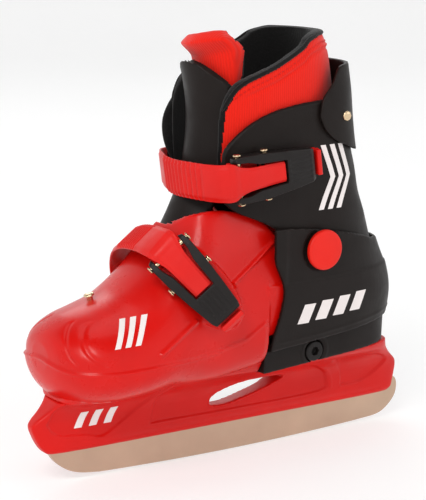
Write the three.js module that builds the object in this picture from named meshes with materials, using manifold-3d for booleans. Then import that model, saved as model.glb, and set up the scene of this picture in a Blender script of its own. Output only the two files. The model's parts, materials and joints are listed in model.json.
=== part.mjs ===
// Child's hard-shell ice skate, left foot, with an adjustable toe shell, a hinged cuff,
// two buckles and a soft inner boot. Millimetres, +Z up. The toe points to -X, the heel to +X,
// the outer side with the buckles faces -Y. The origin is where the blade's edge meets the ice.
import * as THREE from 'three';
import { mergeVertices } from 'three/addons/utils/BufferGeometryUtils.js';
import Module from 'manifold-3d';

const wasm = await Module();
wasm.setup();

// ---- driving dimensions -------------------------------------------------------------------
const GAP = 0.35; // clearance between pieces that touch
const BLADE_THICK = 3.6; // steel runner
const BLADE_TOP = 27; // height of the runner's upper edge inside its slot
const FLAT_HALF = 10; // half length of the level part of the running edge
const ROCKER = 2000; // radius of the running edge

const SOLE_Z = 56; // underside of the toe shell at x = 0
const SOLE_SLOPE = 0.08; // the sole rises towards the heel
const SOLE_THICK = 3;
const SHELL = 2.8; // wall of the toe and heel shells
const CUFF_WALL = 2.6;
const TUCK = SHELL + GAP + 0.05; // how far the cuff lies inside the heel shell

const BLOCK_FRONT = 4; // heel base
const BLOCK_LOW = 48.4; // its underside at x = 0
const BLOCK_LOW_SLOPE = 0.07;
const HEEL_LOW = 61.7; // underside of the heel shell at x = 0
const HEEL_SLOPE = 0.1;

const PIVOT_X = 34; // ankle pivot
const PIVOT_Z = 118.5;
const PIVOT_SHANK = 5; // radius
const DISC_R = 11.3; // round cover on the pivot

const BOLT_X = 38; // cross bolt through the heel base
const BOLT_Z = 57.4;
const BOLT_R = 3;
const TRAVEL = 20; // travel of the toe shell
const RAIL_HALF = 9; // half width of the size rail

const FOOTBED_Z = 68.5; // top of the footbed at x = 0
const FOOTBED_SLOPE = 0.11;
const LINER_WALL = 5;

// ---- materials ----------------------------------------------------------------------------
const slot = (color, roughness, metalness) =>
  new THREE.MeshStandardMaterial({ color, roughness, metalness });
const redPlastic = slot(0xdc1e14, 0.3, 0);
const strapRed = slot(0xe6281e, 0.4, 0);
const blackPlastic = slot(0x2a2422, 0.38, 0);
const steel = slot(0xb9a894, 0.35, 0.9);
const rivetMetal = slot(0xc8b49b, 0.35, 0.9);
const foamRed = slot(0xe62a1a, 0.9, 0);
const boardGrey = slot(0x4a4a4a, 0.8, 0);

// ---- helpers ------------------------------------------------------------------------------
const group = new THREE.Group();

// a closed three.js geometry as a solid, turned the right way out
function solid(geometry) {
  const bare = geometry.index ? geometry.toNonIndexed() : geometry.clone();
  bare.deleteAttribute('normal');
  bare.deleteAttribute('uv');
  const merged = mergeVertices(bare, 1e-4);
  const p = merged.attributes.position.array;
  const t = Uint32Array.from(merged.index.array);
  let volume = 0;
  for (let i = 0; i < t.length; i += 3) {
    const [a, b, c] = [t[i] * 3, t[i + 1] * 3, t[i + 2] * 3];
    volume += p[a] * (p[b + 1] * p[c + 2] - p[b + 2] * p[c + 1]);
    volume -= p[a + 1] * (p[b] * p[c + 2] - p[b + 2] * p[c]);
    volume += p[a + 2] * (p[b] * p[c + 1] - p[b + 1] * p[c]);
  }
  if (volume < 0) {
    for (let i = 0; i < t.length; i += 3) {
      [t[i + 1], t[i + 2]] = [t[i + 2], t[i + 1]];
    }
  }
  return new wasm.Manifold(
    new wasm.Mesh({ numProp: 3, vertProperties: Float32Array.from(p), triVerts: t })
  );
}

function add(name, body, material) {
  const m = body.getMesh();
  const geometry = new THREE.BufferGeometry();
  geometry.setAttribute('position', new THREE.BufferAttribute(m.vertProperties.slice(), 3));
  geometry.setIndex(new THREE.BufferAttribute(m.triVerts.slice(), 1));
  geometry.computeVertexNormals();
  const mesh = new THREE.Mesh(geometry, material);
  mesh.name = name;
  group.add(mesh);
  return body;
}

// rings of equal length joined into a closed body; a curved sheet's ends are closed edge to edge
function loft(rings, sheet = false) {
  const n = rings[0].length;
  const points = rings.flat();
  const index = [];
  for (let i = 0; i + 1 < rings.length; i += 1) {
    for (let j = 0; j < n; j += 1) {
      const a = i * n + j;
      const b = i * n + ((j + 1) % n);
      index.push(a, b, b + n, a, b + n, a + n);
    }
  }
  [0, rings.length - 1].forEach((k, side) => {
    const tri = (a, b, c) => (side === 0 ? index.push(c, b, a) : index.push(a, b, c));
    const start = k * n;
    if (sheet) {
      for (let j = 0; j < n / 2 - 1; j += 1) {
        tri(start + j, start + j + 1, start + n - 2 - j);
        tri(start + j, start + n - 2 - j, start + n - 1 - j);
      }
      return;
    }
    const middle = new THREE.Vector3();
    rings[k].forEach((p) => middle.addScaledVector(p, 1 / n));
    points.push(middle);
    for (let j = 0; j < n; j += 1) tri(points.length - 1, start + j, start + ((j + 1) % n));
  });
  const geometry = new THREE.BufferGeometry().setFromPoints(points);
  geometry.setIndex(index);
  return solid(geometry);
}

// smooth interpolation in rows sorted by their first number
function smooth(rows, t) {
  const last = rows.length - 1;
  let i = 0;
  while (i < last - 1 && t > rows[i + 1][0]) i += 1;
  const [a, b] = [rows[i], rows[i + 1]];
  const before = rows[Math.max(i - 1, 0)];
  const after = rows[Math.min(i + 2, last)];
  const h = b[0] - a[0];
  const s = Math.min(Math.max((t - a[0]) / h, 0), 1);
  return a.map((value, k) => {
    if (k === 0) return t;
    const ma = ((b[k] - before[k]) / (b[0] - before[0])) * h;
    const mb = ((after[k] - a[k]) / (after[0] - a[0])) * h;
    const p = value * (2 * s ** 3 - 3 * s ** 2 + 1) + ma * (s ** 3 - 2 * s ** 2 + s);
    return p + b[k] * (3 * s ** 2 - 2 * s ** 3) + mb * (s ** 3 - s ** 2);
  });
}

const power = (value, n) => Math.sign(value) * Math.abs(value) ** (2 / n);

// level ring: front end xf, rear end xr, widest at xc, half width w
function levelRing(z, xf, xc, xr, w, n = 2.6, count = 24) {
  return Array.from({ length: count }, (_, i) => {
    const angle = ((i + 0.5) / count) * 2 * Math.PI;
    const c = Math.cos(angle);
    const x = xc + (c > 0 ? xr - xc : xc - xf) * power(c, n);
    return new THREE.Vector3(x, w * power(Math.sin(angle), n), z);
  });
}

// upright ring across the foot: underside zb, widest at zc, top zt
function crossRing(x, zb, zc, zt, w, nLow = 4, nHigh = 2.4, count = 32) {
  return Array.from({ length: count }, (_, i) => {
    const angle = ((i + 0.5) / count) * 2 * Math.PI;
    const s = Math.sin(angle);
    const n = s > 0 ? nHigh : nLow;
    const z = zc + (s > 0 ? zt - zc : zc - zb) * power(s, n);
    return new THREE.Vector3(x, w * power(Math.cos(angle), n), z);
  });
}

// side outline [x, z] drawn across the width, from y0 to y1
function side(outline, y0, y1) {
  const shape = new THREE.Shape(outline.map(([x, z]) => new THREE.Vector2(x, z)));
  const geometry = new THREE.ExtrudeGeometry(shape, { depth: y1 - y0, bevelEnabled: false });
  geometry.rotateX(Math.PI / 2);
  geometry.translate(0, y1, 0);
  return solid(geometry);
}

function box(x0, x1, y0, y1, z0, z1, matrix = null) {
  const geometry = new THREE.BoxGeometry(x1 - x0, y1 - y0, z1 - z0);
  geometry.translate((x0 + x1) / 2, (y0 + y1) / 2, (z0 + z1) / 2);
  if (matrix) geometry.applyMatrix4(matrix);
  return solid(geometry);
}

// turned part on an axis along Y: profile [radius, y]
function turned(x, z, profile, count = 20) {
  const points = profile.map(([r, y]) => new THREE.Vector2(r, y));
  const geometry = new THREE.LatheGeometry(points, count);
  geometry.translate(x, 0, z);
  return solid(geometry);
}

// turned part standing on the third axis of a local frame: profile [radius, height]
function turnedIn(matrix, u, v, profile, count = 16) {
  const points = profile.map(([r, y]) => new THREE.Vector2(r, y));
  const geometry = new THREE.LatheGeometry(points, count);
  geometry.rotateX(Math.PI / 2);
  geometry.translate(u, v, 0);
  geometry.applyMatrix4(matrix);
  return solid(geometry);
}

// plate with outline [u, v] in a local frame, from height w0 to w1
function plateIn(matrix, outline, w0, w1) {
  const shape = new THREE.Shape(outline.map(([u, v]) => new THREE.Vector2(u, v)));
  const geometry = new THREE.ExtrudeGeometry(shape, { depth: w1 - w0, bevelEnabled: false });
  geometry.translate(0, 0, w0);
  geometry.applyMatrix4(matrix);
  return solid(geometry);
}

// plate with outline [u, w] in a local frame, from v0 to v1
function cheekIn(matrix, outline, v0, v1) {
  const shape = new THREE.Shape(outline.map(([u, w]) => new THREE.Vector2(u, w)));
  const geometry = new THREE.ExtrudeGeometry(shape, { depth: v1 - v0, bevelEnabled: false });
  geometry.rotateX(Math.PI / 2);
  geometry.translate(0, v1, 0);
  geometry.applyMatrix4(matrix);
  return solid(geometry);
}

// flat band along a path: rows are [point, width direction, outward direction, width]
function band(rows, thick) {
  const rings = rows.map(([p, across, out, width]) => {
    const corner = (s, t) =>
      p.clone().addScaledVector(across, (s * width) / 2).addScaledVector(out, t * thick);
    return [corner(-1, 0), corner(1, 0), corner(1, 1), corner(-1, 1)];
  });
  return loft(rings);
}

const cut = (body, ...tools) => tools.reduce((a, b) => a.subtract(b), body);
const join = (...bodies) => bodies.reduce((a, b) => a.add(b));
const meet = (a, b) => a.intersect(b);
const largest = (body) => body.decompose().sort((a, b) => b.volume() - a.volume())[0];

// ---- boot lines ---------------------------------------------------------------------------
// height, rear end, half width of the outside of the boot behind the toe shell
const BOOT = [
  [58, 96, 31.5],
  [70, 100, 34.5],
  [86, 101.5, 37.3],
  [100, 98, 39],
  [117, 90, 40],
  [133, 83.5, 40],
  [150, 76.5, 39.7],
  [168, 69.8, 39],
  [184, 66.8, 38.6],
  [204, 65, 37.6],
  [222, 63, 35.4],
];
const BOOT_MIDDLE = 34;

// outside of the boot, set in by a distance, between two heights
function bootBody(z0, z1, inset, steps, front = -48, n = 2.7, extra = () => 0) {
  const rings = [];
  for (let i = 0; i <= steps; i += 1) {
    const z = z0 + ((z1 - z0) * i) / steps;
    const [, rear, half] = smooth(BOOT, z);
    const d = inset + extra(z);
    rings.push(levelRing(z, front + d, BOOT_MIDDLE, rear - d, half - d, n));
  }
  return loft(rings);
}

// the cuff is drawn in at its lower end, and swells out to the full boot line above the heel shell
const cuffInset = (z) => {
  const t = Math.min(Math.max((z - 143) / 22, 0), 1);
  const low = Math.min(Math.max((134 - z) / 14, 0), 1);
  return 0.8 * low - (TUCK - 1.2) * t * t * (3 - 2 * t);
};

// x, underside, widest height, top, half width of the toe shell; the top is cut open at the back
const TOE = [
  [-121, 63, 72, 79, 9],
  [-119.5, 57, 71, 83, 18],
  [-115, 51, 69, 87.3, 27.5],
  [-106, 46, 67, 92, 35.5],
  [-92, 44.6, 66, 95.8, 41],
  [-78, 45.8, 67, 100.6, 43.3],
  [-68, 46.6, 69, 107.5, 43.3],
  [-58, 47.4, 72, 117, 42.6],
  [-50, 48, 74, 127, 41.5],
  [-43, 48.6, 76, 144, 40.2],
  [-35, 49.2, 78, 161, 38.8],
  [-24, 50, 80, 170, 37],
  [-14, 50.9, 82, 173, 35.8],
  [2, 52.2, 85, 176, 34.6],
  [31, 54.5, 86, 178, 34.4],
];

const TOE_STATIONS = [-121, -119.4, -116, -109, -98, -84, -71, -61, -52, -43, -33, -16, 31];

// outside of the toe shell, set in by a distance
function toeBody(inset) {
  const rings = TOE_STATIONS.map((station, i) => {
    const x = station + (inset > 1 && i < 2 ? 3.4 : 0);
    const d = inset + (inset > 1 && i === 0 ? 2.4 : 0);
    const [, zb, zc, zt, w] = smooth(TOE, x);
    return crossRing(x, zb + d, zc, zt - d, w - d, inset > 1 ? 2.36 : 2.1, 2.05, 24);
  });
  return loft(rings);
}

// ---- running gear -------------------------------------------------------------------------
const rocker = (x) => (x * x) / (2 * ROCKER);
const edge = [-87, -61, -36, -22].map((x) => [x, rocker(x)]);
const edgeRear = [22, 36, 61, 87].map((x) => [x, rocker(x)]);
const RUNNER = [
  [-118.6, 23.6],
  [-117.9, 18.6],
  [-114.4, 12.6],
  [-107.5, 6.9],
  [-99, 3.6],
  ...edge,
  [-FLAT_HALF, 0],
  [FLAT_HALF, 0],
  ...edgeRear,
  [103, 3.1],
  [110.5, 6.3],
  [116.2, 11.8],
  [118.3, 17.6],
  [117.2, 23.6],
  [111, BLADE_TOP],
  [-112, BLADE_TOP],
];
const blade = side(RUNNER, -BLADE_THICK / 2, BLADE_THICK / 2);
add('blade', blade, steel);

// slot in the holder, a little larger than the runner
const SLOT = [
  [-119.2, 10],
  [118.9, 10],
  [118.4, 24],
  [111.4, BLADE_TOP + GAP],
  [-112.4, BLADE_TOP + GAP],
  [-119.2, 24],
];
const slotHalf = BLADE_THICK / 2 + 0.3;

const HOLDER = [
  // height, front end, rear end, half width
  [17.6, -119.5, 110, 6.4],
  [19.6, -121.5, 112.8, 7.3],
  [22.6, -123.8, 114.2, 6.3],
  [28, -126.6, 115.6, 6],
  [33.6, -128.2, 116.2, 6.6],
  [36.5, -126.4, 115.2, 7.6],
  [41, -120.6, 110.4, 10.5],
  [46, -115.2, 105, 16.5],
  [50, -112.6, 101, 22.5],
  [57, -110, 98, 27],
];
const holderRings = HOLDER.map(([z, x0, x1, w]) => levelRing(z, x0, 0, x1, w, 5.5, 32));
const WINDOW = [
  [-18, 30.4],
  [-16.4, 28.6],
  [-6, 28.2],
  [11, 31.6],
  [22, 34.8],
  [31, 39.6],
  [17, 41.2],
  [1, 40.2],
  [-11, 36.8],
  [-16.6, 33.6],
];
const toeSole = (x) => SOLE_Z + SOLE_SLOPE * x;
const blockLow = (x) => BLOCK_LOW + BLOCK_LOW_SLOPE * x;
const heelSole = (x) => HEEL_LOW + HEEL_SLOPE * x;
const ABOVE_SOLE = [
  [-140, toeSole(-140) - GAP],
  [BLOCK_FRONT - 0.6, toeSole(BLOCK_FRONT) - GAP],
  [BLOCK_FRONT - 0.6, blockLow(BLOCK_FRONT) - GAP],
  [130, blockLow(130) - GAP],
  [130, 90],
  [-140, 90],
];
// the size rail is inclined like the sole
const incline = Math.atan(SOLE_SLOPE);
const railFrame = new THREE.Matrix4()
  .makeTranslation(BOLT_X, 0, BOLT_Z)
  .multiply(new THREE.Matrix4().makeRotationY(-incline));
const railGroove = join(
  box(-129, -20, -RAIL_HALF - GAP, RAIL_HALF + GAP, -5.4, 12, railFrame),
  box(-56, 40, -RAIL_HALF - GAP, RAIL_HALF + GAP, -5.4, 5.4, railFrame)
);
const holderScrewHoles = [
  [24, 13.4],
  [24, -13.4],
  [74, 0],
];
let holder = loft(holderRings);
holder = cut(holder, side(WINDOW, -60, 60), side(ABOVE_SOLE, -60, 60));
holder = cut(holder, side(SLOT, -slotHalf, slotHalf), railGroove);
holderScrewHoles.forEach(([x, y]) => {
  const hole = new THREE.CylinderGeometry(2, 2, 40, 8).rotateX(Math.PI / 2);
  holder = cut(holder, solid(hole.translate(x, y, 62)));
});
add('blade_holder', holder, redPlastic);

// ---- heel base ----------------------------------------------------------------------------
const BASE_SIDES = [
  [44, -40, 94.5, 26.5],
  [56, -40, 96.5, 27.6],
  [76, -40, 97, 28.6],
];
const baseRings = BASE_SIDES.map(([z, x0, x1, w]) => levelRing(z, x0, 30, x1, w, 4, 24));
const BASE_OUTLINE = [
  [BLOCK_FRONT, blockLow(BLOCK_FRONT)],
  [110, blockLow(110)],
  [110, heelSole(110) - GAP],
  [BLOCK_FRONT, heelSole(BLOCK_FRONT) - GAP],
];
let base = meet(loft(baseRings), side(BASE_OUTLINE, -60, 60));
const boltHole = turned(BOLT_X, BOLT_Z, [
  [0, -40],
  [6.4, -40],
  [6.4, -24.6],
  [BOLT_R + GAP, -24.6],
  [BOLT_R + GAP, 24.6],
  [6.4, 24.6],
  [6.4, 40],
  [0, 40],
]);
base = cut(base, railGroove, boltHole);
holderScrewHoles.forEach(([x, y]) => {
  const hole = new THREE.CylinderGeometry(2.4, 2.4, 60, 8).rotateX(Math.PI / 2);
  base = cut(base, solid(hole.translate(x, y, 62)));
});
add('heel_base', base, blackPlastic);

// cross bolt: cylindrical head with a hexagon socket, and its nut on the inner side
const boltHead = turned(BOLT_X, BOLT_Z, [
  [0, -28.2],
  [5.4, -28.2],
  [5.9, -27.6],
  [5.9, -25],
  [BOLT_R, -25],
  [BOLT_R, 27.6],
  [0, 27.6],
]);
const socket = new THREE.CylinderGeometry(2.3, 2.3, 6, 6).translate(BOLT_X, -28.2, BOLT_Z);
add('cross_bolt', cut(boltHead, solid(socket)), blackPlastic);
const nut = turned(
  BOLT_X,
  BOLT_Z,
  [
    [BOLT_R + GAP, 25],
    [5.8, 25],
    [5.8, 27.4],
    [BOLT_R + GAP, 27.4],
    [BOLT_R + GAP, 25],
  ],
  18
);
add('cross_bolt_nut', nut, steel);

// ---- heel shell ---------------------------------------------------------------------------
const HEEL_FRONT = [
  [5.2, heelSole(5.2)],
  [5.6, 70],
  [8.4, 82],
  [10, 94],
  [9, 101],
  [5.6, 108.6],
  [3.2, 114],
  [3, 121],
  [3, 132.6],
];
const HEEL_TOP = [
  [20, 131.4],
  [46, 127.4],
  [66, 122.6],
  [82, 118.2],
  [120, 117],
];
const HEEL_OUTLINE = [...HEEL_FRONT, ...HEEL_TOP, [120, heelSole(120)]];
const heelCavityFloor = [
  [-80, heelSole(-80) + SOLE_THICK],
  [130, heelSole(130) + SOLE_THICK],
  [130, 200],
  [-80, 200],
];
const heelCavity = meet(bootBody(59, 140, SHELL, 6, -120), side(heelCavityFloor, -70, 70));
let heelShell = meet(bootBody(60, 138, 0, 6, -120), side(HEEL_OUTLINE, -70, 70));
heelShell = cut(heelShell, heelCavity);
const pivotHole = turned(PIVOT_X, PIVOT_Z, [
  [0, -70],
  [PIVOT_SHANK + GAP, -70],
  [PIVOT_SHANK + GAP, 70],
  [0, 70],
]);
// the round cover lies in a shallow recess
const recess = (sign) =>
  turned(PIVOT_X, PIVOT_Z, [
    [0, sign * 38.9],
    [DISC_R + 0.9, sign * 38.9],
    [DISC_R + 0.9, sign * 60],
    [0, sign * 60],
  ]);
heelShell = cut(heelShell, pivotHole, recess(-1), recess(1));
holderScrewHoles.forEach(([x, y]) => {
  const hole = new THREE.CylinderGeometry(2.4, 2.4, 60, 8).rotateX(Math.PI / 2);
  const sink = new THREE.CylinderGeometry(4.4, 4.4, 20, 10).rotateX(Math.PI / 2);
  heelShell = cut(heelShell, solid(hole.translate(x, y, 62)));
  heelShell = cut(heelShell, solid(sink.translate(x, y, heelSole(x) + 1.2 + 10)));
});
add('heel_shell', heelShell, blackPlastic);

// screws through the heel shell and the heel base into the holder
holderScrewHoles.forEach(([x, y], i) => {
  const top = heelSole(x) + 2.6;
  const shape = [
    [0, -20.4],
    [1.6, -20.4],
    [1.6, -1.1],
    [4, -1.1],
    [3.6, 0],
    [0, 0],
  ];
  const geometry = new THREE.LatheGeometry(shape.map(([r, h]) => new THREE.Vector2(r, h)), 10);
  geometry.rotateX(Math.PI / 2);
  geometry.translate(x, y, top);
  add(`heel_screw_${i + 1}`, solid(geometry), rivetMetal);
});

// ---- toe shell ----------------------------------------------------------------------------
const THROAT = [
  [-52, 260],
  [-52, 127],
  [-48.5, 132],
  [-44, 137.6],
  [-39, 142],
  [-29, 144],
  [-15, 142],
  [0, 136],
  [9, 127],
  [13, 116],
  [13, 97],
  [40, 97],
  [40, 260],
];
// behind this line the toe shell goes on as two wings inside the heel shell
const WING_CUT = [
  [2.4, 40],
  [2.4, 97.5],
  [60, 97.5],
  [60, 40],
];
const WING = [
  [1.2, 71],
  [1.2, 100],
  [12, 100],
  [20, 98.2],
  [28, 94],
  [28, 73.2],
];
const toeFloor = [
  [-140, toeSole(-140) + SOLE_THICK],
  [60, toeSole(60) + SOLE_THICK],
  [60, 250],
  [-140, 250],
];
const toeBottom = [
  [-140, toeSole(-140)],
  [60, toeSole(60)],
  [60, 250],
  [-140, 250],
];
const toeInner = meet(toeBody(SHELL), side(toeFloor, -60, 60));
// flared foot of the toe shell, which meets the top of the blade holder
const FLARE = [
  // height, front, half width, squareness
  [46, -113.4, 19, 5],
  [50, -113.2, 22.5, 4.6],
  [53, -113.6, 27, 3.8],
  [55, -114.4, 31, 3.2],
  [57.2, -116.2, 34.5, 2.6],
];
const flare = loft(FLARE.map(([z, x, w, n]) => levelRing(z, x, -60, 2.4, w, n)));
const toeOutside = meet(join(toeBody(0), flare), side(toeBottom, -60, 60));
// the inner side of the boot is open lower than the outer side
const INNER_SIDE = [
  [-56, 127],
  [-46, 127.4],
  [-30, 128],
  [-8, 126.5],
  [12, 121],
  [40, 121],
  [40, 260],
  [-56, 260],
];
const throatCut = join(side(THROAT, -60, 60), side(INNER_SIDE, 12, 60));
let toeShell = cut(toeOutside, toeInner, throatCut, side(WING_CUT, -60, 60));
const wingWall = cut(
  bootBody(60, 104, SHELL + 0.8, 4, -120),
  bootBody(59.5, 104.5, SHELL + 3.1, 4, -120)
);
toeShell = join(toeShell, meet(wingWall, side(WING, -60, 60)));
const railScrews = [-62, -22];
railScrews.forEach((x) => {
  const hole = new THREE.CylinderGeometry(2.4, 2.4, 30, 8).rotateX(Math.PI / 2);
  const sink = new THREE.CylinderGeometry(4.4, 4.4, 20, 10).rotateX(Math.PI / 2);
  toeShell = cut(toeShell, solid(hole.translate(x, 0, 55)));
  toeShell = cut(toeShell, solid(sink.translate(x, 0, toeSole(x) + 1.2 + 10)));
});

// size rail: screwed under the toe shell, it slides in the holder and the heel base
const rail = join(
  box(-108, -10, -RAIL_HALF, RAIL_HALF, -5, 1.25, railFrame),
  box(-12, 34, -RAIL_HALF, RAIL_HALF, -5, 5, railFrame)
);
const slotLong = box(
  -BOLT_R - 0.6,
  TRAVEL + BOLT_R + 0.6,
  -30,
  30,
  -BOLT_R - GAP,
  BOLT_R + GAP,
  railFrame
);
let sizeRail = cut(rail, slotLong);

// ---- cuff ---------------------------------------------------------------------------------
const CUFF_LOW = [
  [-25.6, 160],
  [-25, 152],
  [-22.4, 146.6],
  [-16, 142],
  [-7, 138.2],
  [1, 134.4],
  [10, 128],
  [16, 120],
  [20, 111],
  [26, 105],
  [34, 103.4],
  [44, 105],
  [56, 109],
  [70, 113],
  [82, 116.4],
  [100, 117],
];
const CUFF_HIGH = [
  [100, 199],
  [46, 200.6],
  [28.6, 200],
  [16, 198.6],
  [3.6, 196],
  [-8.6, 191],
  [-18.4, 183.8],
  [-24.6, 176],
];
const cuffOutline = [...CUFF_LOW, ...CUFF_HIGH];
let cuffShell = meet(
  bootBody(100, 204, TUCK, 8, -48, 2.7, cuffInset),
  side(cuffOutline, -70, 70)
);
cuffShell = cut(cuffShell, bootBody(98, 206, TUCK + CUFF_WALL, 8, -48, 2.7, cuffInset));
cuffShell = cut(cuffShell, pivotHole, box(-60, -22.5, 0, 60, 100, 210));

const SPOILER = [
  [31.8, 191.5],
  [35.5, 184],
  [43, 178],
  [54, 173.5],
  [66, 170],
  [90, 168],
  [90, 219.4],
  [52.6, 218.8],
  [45.6, 216],
  [41, 209],
  [34, 201],
];
let spoiler = meet(bootBody(164, 222, -1.5, 5, -60), side(SPOILER, -70, 70));
spoiler = cut(spoiler, bootBody(162, 224, 0.85, 5, -60));

// ankle pivots: hollow studs with a round cover outside
[-1, 1].forEach((sign) => {
  const stud = turned(PIVOT_X, PIVOT_Z, [
    [0, sign * 39.6],
    [PIVOT_SHANK, sign * 39.6],
    [PIVOT_SHANK, sign * 32.5],
    [8, sign * 32.5],
    [8, sign * 31.1],
    [0, sign * 31.1],
  ]);
  const cover = turned(PIVOT_X, PIVOT_Z, [
    [0, sign * 40],
    [DISC_R - 0.6, sign * 40],
    [DISC_R, sign * 40.5],
    [DISC_R, sign * 42],
    [DISC_R - 0.4, sign * 42.9],
    [DISC_R - 1.4, sign * 43.2],
    [0, sign * 43.2],
  ]);
  const label = sign < 0 ? 'outer' : 'inner';
  add(`pivot_stud_${label}`, stud, rivetMetal);
  add(`pivot_cover_${label}`, cover, redPlastic);
});

// ---- footbed ------------------------------------------------------------------------------
const footbedTop = (x) => FOOTBED_Z + FOOTBED_SLOPE * x;
const toeTop = (x) => toeSole(x) + SOLE_THICK + GAP;
const heelTop = (x) => heelSole(x) + SOLE_THICK + GAP;
const FOOTBED = [
  [-100, toeTop(-100)],
  [1.2, toeTop(1.2)],
  [1.6, heelTop(1.6)],
  [87, heelTop(87)],
  [87, footbedTop(87)],
  [-100, footbedTop(-100)],
];
const FOOT_PLAN = [
  [-97, -6],
  [-92, -15],
  [-80, -20.6],
  [-60, -21.4],
  [-40, -20],
  [-20, -18.6],
  [0, -18.6],
  [30, -24],
  [60, -24],
  [74, -20],
  [82, -12],
  [84.5, 0],
];
const plan = (points, z0, z1) => {
  const both = [...points, ...points.slice(0, -1).reverse().map(([x, y]) => [x, -y])];
  const shape = new THREE.Shape(both.map(([x, y]) => new THREE.Vector2(x, y)));
  const geometry = new THREE.ExtrudeGeometry(shape, { depth: z1 - z0, bevelEnabled: false });
  return solid(geometry.translate(0, 0, z0));
};
add('footbed', meet(plan(FOOT_PLAN, 40, 100), side(FOOTBED, -40, 40)), boardGrey);

// ---- tongue -------------------------------------------------------------------------------
// x, height, half width and bow of the tongue's outer face along its length
const TONGUE = [
  [-70, 97.6, 21, 3.8],
  [-62, 105.2, 21.6, 6],
  [-54.5, 113.6, 21.2, 7.8],
  [-47.5, 125, 20.4, 9],
  [-38, 143, 18.2, 9.6],
  [-31.5, 158, 18.6, 10],
  [-27.6, 174, 20.2, 10.6],
  [-26, 192, 21, 11],
  [-27.4, 208, 21.6, 11.2],
  [-30.5, 223, 21.4, 11],
];
function tongueBody(first, last, inner, outer, trim = 0) {
  const rings = [];
  for (let i = first; i <= last; i += 1) {
    const [x, z, half, bow] = TONGUE[i];
    const before = TONGUE[Math.max(i - 1, 0)];
    const after = TONGUE[Math.min(i + 1, TONGUE.length - 1)];
    const along = new THREE.Vector3(after[0] - before[0], 0, after[1] - before[1]).normalize();
    const out = new THREE.Vector3(-along.z, 0, along.x);
    const line = (h, w) =>
      [-1, -0.75, -0.4, 0, 0.4, 0.75, 1].map((t) => {
        const p = new THREE.Vector3(x, t * w, z);
        return p.addScaledVector(out, h - bow * t * t);
      });
    rings.push([...line(outer, half - trim), ...line(inner, half - trim).reverse()]);
  }
  return loft(rings, true);
}
add('tongue_lower', tongueBody(0, 3, -4, 0), blackPlastic);
add('tongue_upper', tongueBody(4, 9, -3.4, 0), blackPlastic);

// ---- inner boot ---------------------------------------------------------------------------
// x, widest height, top, half width
const LINER = [
  [-113, 70, 79, 13],
  [-110, 69, 82.5, 21],
  [-101, 69, 87.5, 29],
  [-88, 70, 91, 34],
  [-72, 72, 95.5, 35],
  [-60, 75, 104, 34.5],
  [-48, 79, 119, 33],
  [-32, 84, 142, 31],
  [-14, 88, 160, 28.4],
  [6, 90, 166, 27.4],
  [40, 90, 168, 27.8],
  [66, 90, 166, 26],
  [82, 90, 160, 19],
  [88, 90, 150, 11],
];
function linerBody(inset, x0, x1, steps) {
  const rings = [];
  for (let i = 0; i <= steps; i += 1) {
    const x = x0 + ((x1 - x0) * i) / steps;
    const [, zc, zt, w] = smooth(LINER, x);
    const low = footbedTop(x) + GAP + inset * 0.6;
    rings.push(crossRing(x, low, zc, zt - inset, w - inset, 3, 2.5, 20));
  }
  return loft(rings);
}

// the foot part ends low enough for the cuff part to swing above it
const ANKLE_CUT = [
  [-50, 132],
  [-28, 124],
  [0, 112],
  [20, 107],
  [48, 107],
  [100, 104],
];
const linerLow = [...ANKLE_CUT, [100, 50], [-130, 50], [-130, 132]];
const linerFloorLine = (x) => footbedTop(x) + GAP + 3;
const linerHollowSide = [
  [-130, linerFloorLine(-130)],
  [110, linerFloorLine(110)],
  [110, 220],
  [-130, 220],
];
let linerFoot = meet(linerBody(0, -113, 88, 10), side(linerLow, -60, 60));
linerFoot = cut(
  linerFoot,
  meet(linerBody(LINER_WALL, -107, 83.5, 8), side(linerHollowSide, -60, 60))
);
linerFoot = cut(linerFoot, tongueBody(0, 5, -6.4, 60, -1.5));
add('liner_foot', largest(linerFoot), foamRed);

const COLLAR = [
  // height, front, middle, rear, half width
  [108, -34, 26, 80, 27],
  [122, -38, 26, 80.5, 27.2],
  [140, -38, 24, 74.5, 26.2],
  [156, -36, 22, 68, 29.2],
  [176, -36, 20, 62, 32],
  [200, -36, 18, 59, 33.4],
  [214, -36, 17, 57, 33.4],
  [228, -35, 16, 54.5, 32],
  [237, -33, 15, 51, 29.5],
];
const collarBody = (inset, z0, z1, steps) => {
  const rings = [];
  for (let i = 0; i <= steps; i += 1) {
    const z = z0 + ((z1 - z0) * i) / steps;
    const [, xf, xc, xr, w] = smooth(COLLAR, z);
    rings.push(levelRing(z, xf + inset, xc, xr - inset, w - inset, 2.5, 20));
  }
  return loft(rings);
};
const COLLAR_SIDE = [
  [-24, 157],
  [-20, 151],
  [-6, 142],
  [8, 129.6],
  [20, 117.4],
  [34, 112.6],
  [50, 113],
  [90, 112],
  [90, 233],
  [62, 236],
  [40, 236.4],
  [30, 233.6],
  [26, 230],
  [8, 221],
  [-10, 214],
  [-17, 209.4],
  [-23, 198],
  [-24.6, 176],
];
let collar = meet(collarBody(0, 110, 238, 7), side(COLLAR_SIDE, -60, 60));
collar = cut(collar, collarBody(6, 106, 240, 6));
collar = cut(collar, tongueBody(3, 9, -6, 60, -1.5), box(-60, -8, -24, 24, 210, 240));
add('liner_collar', largest(collar), foamRed);

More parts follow.
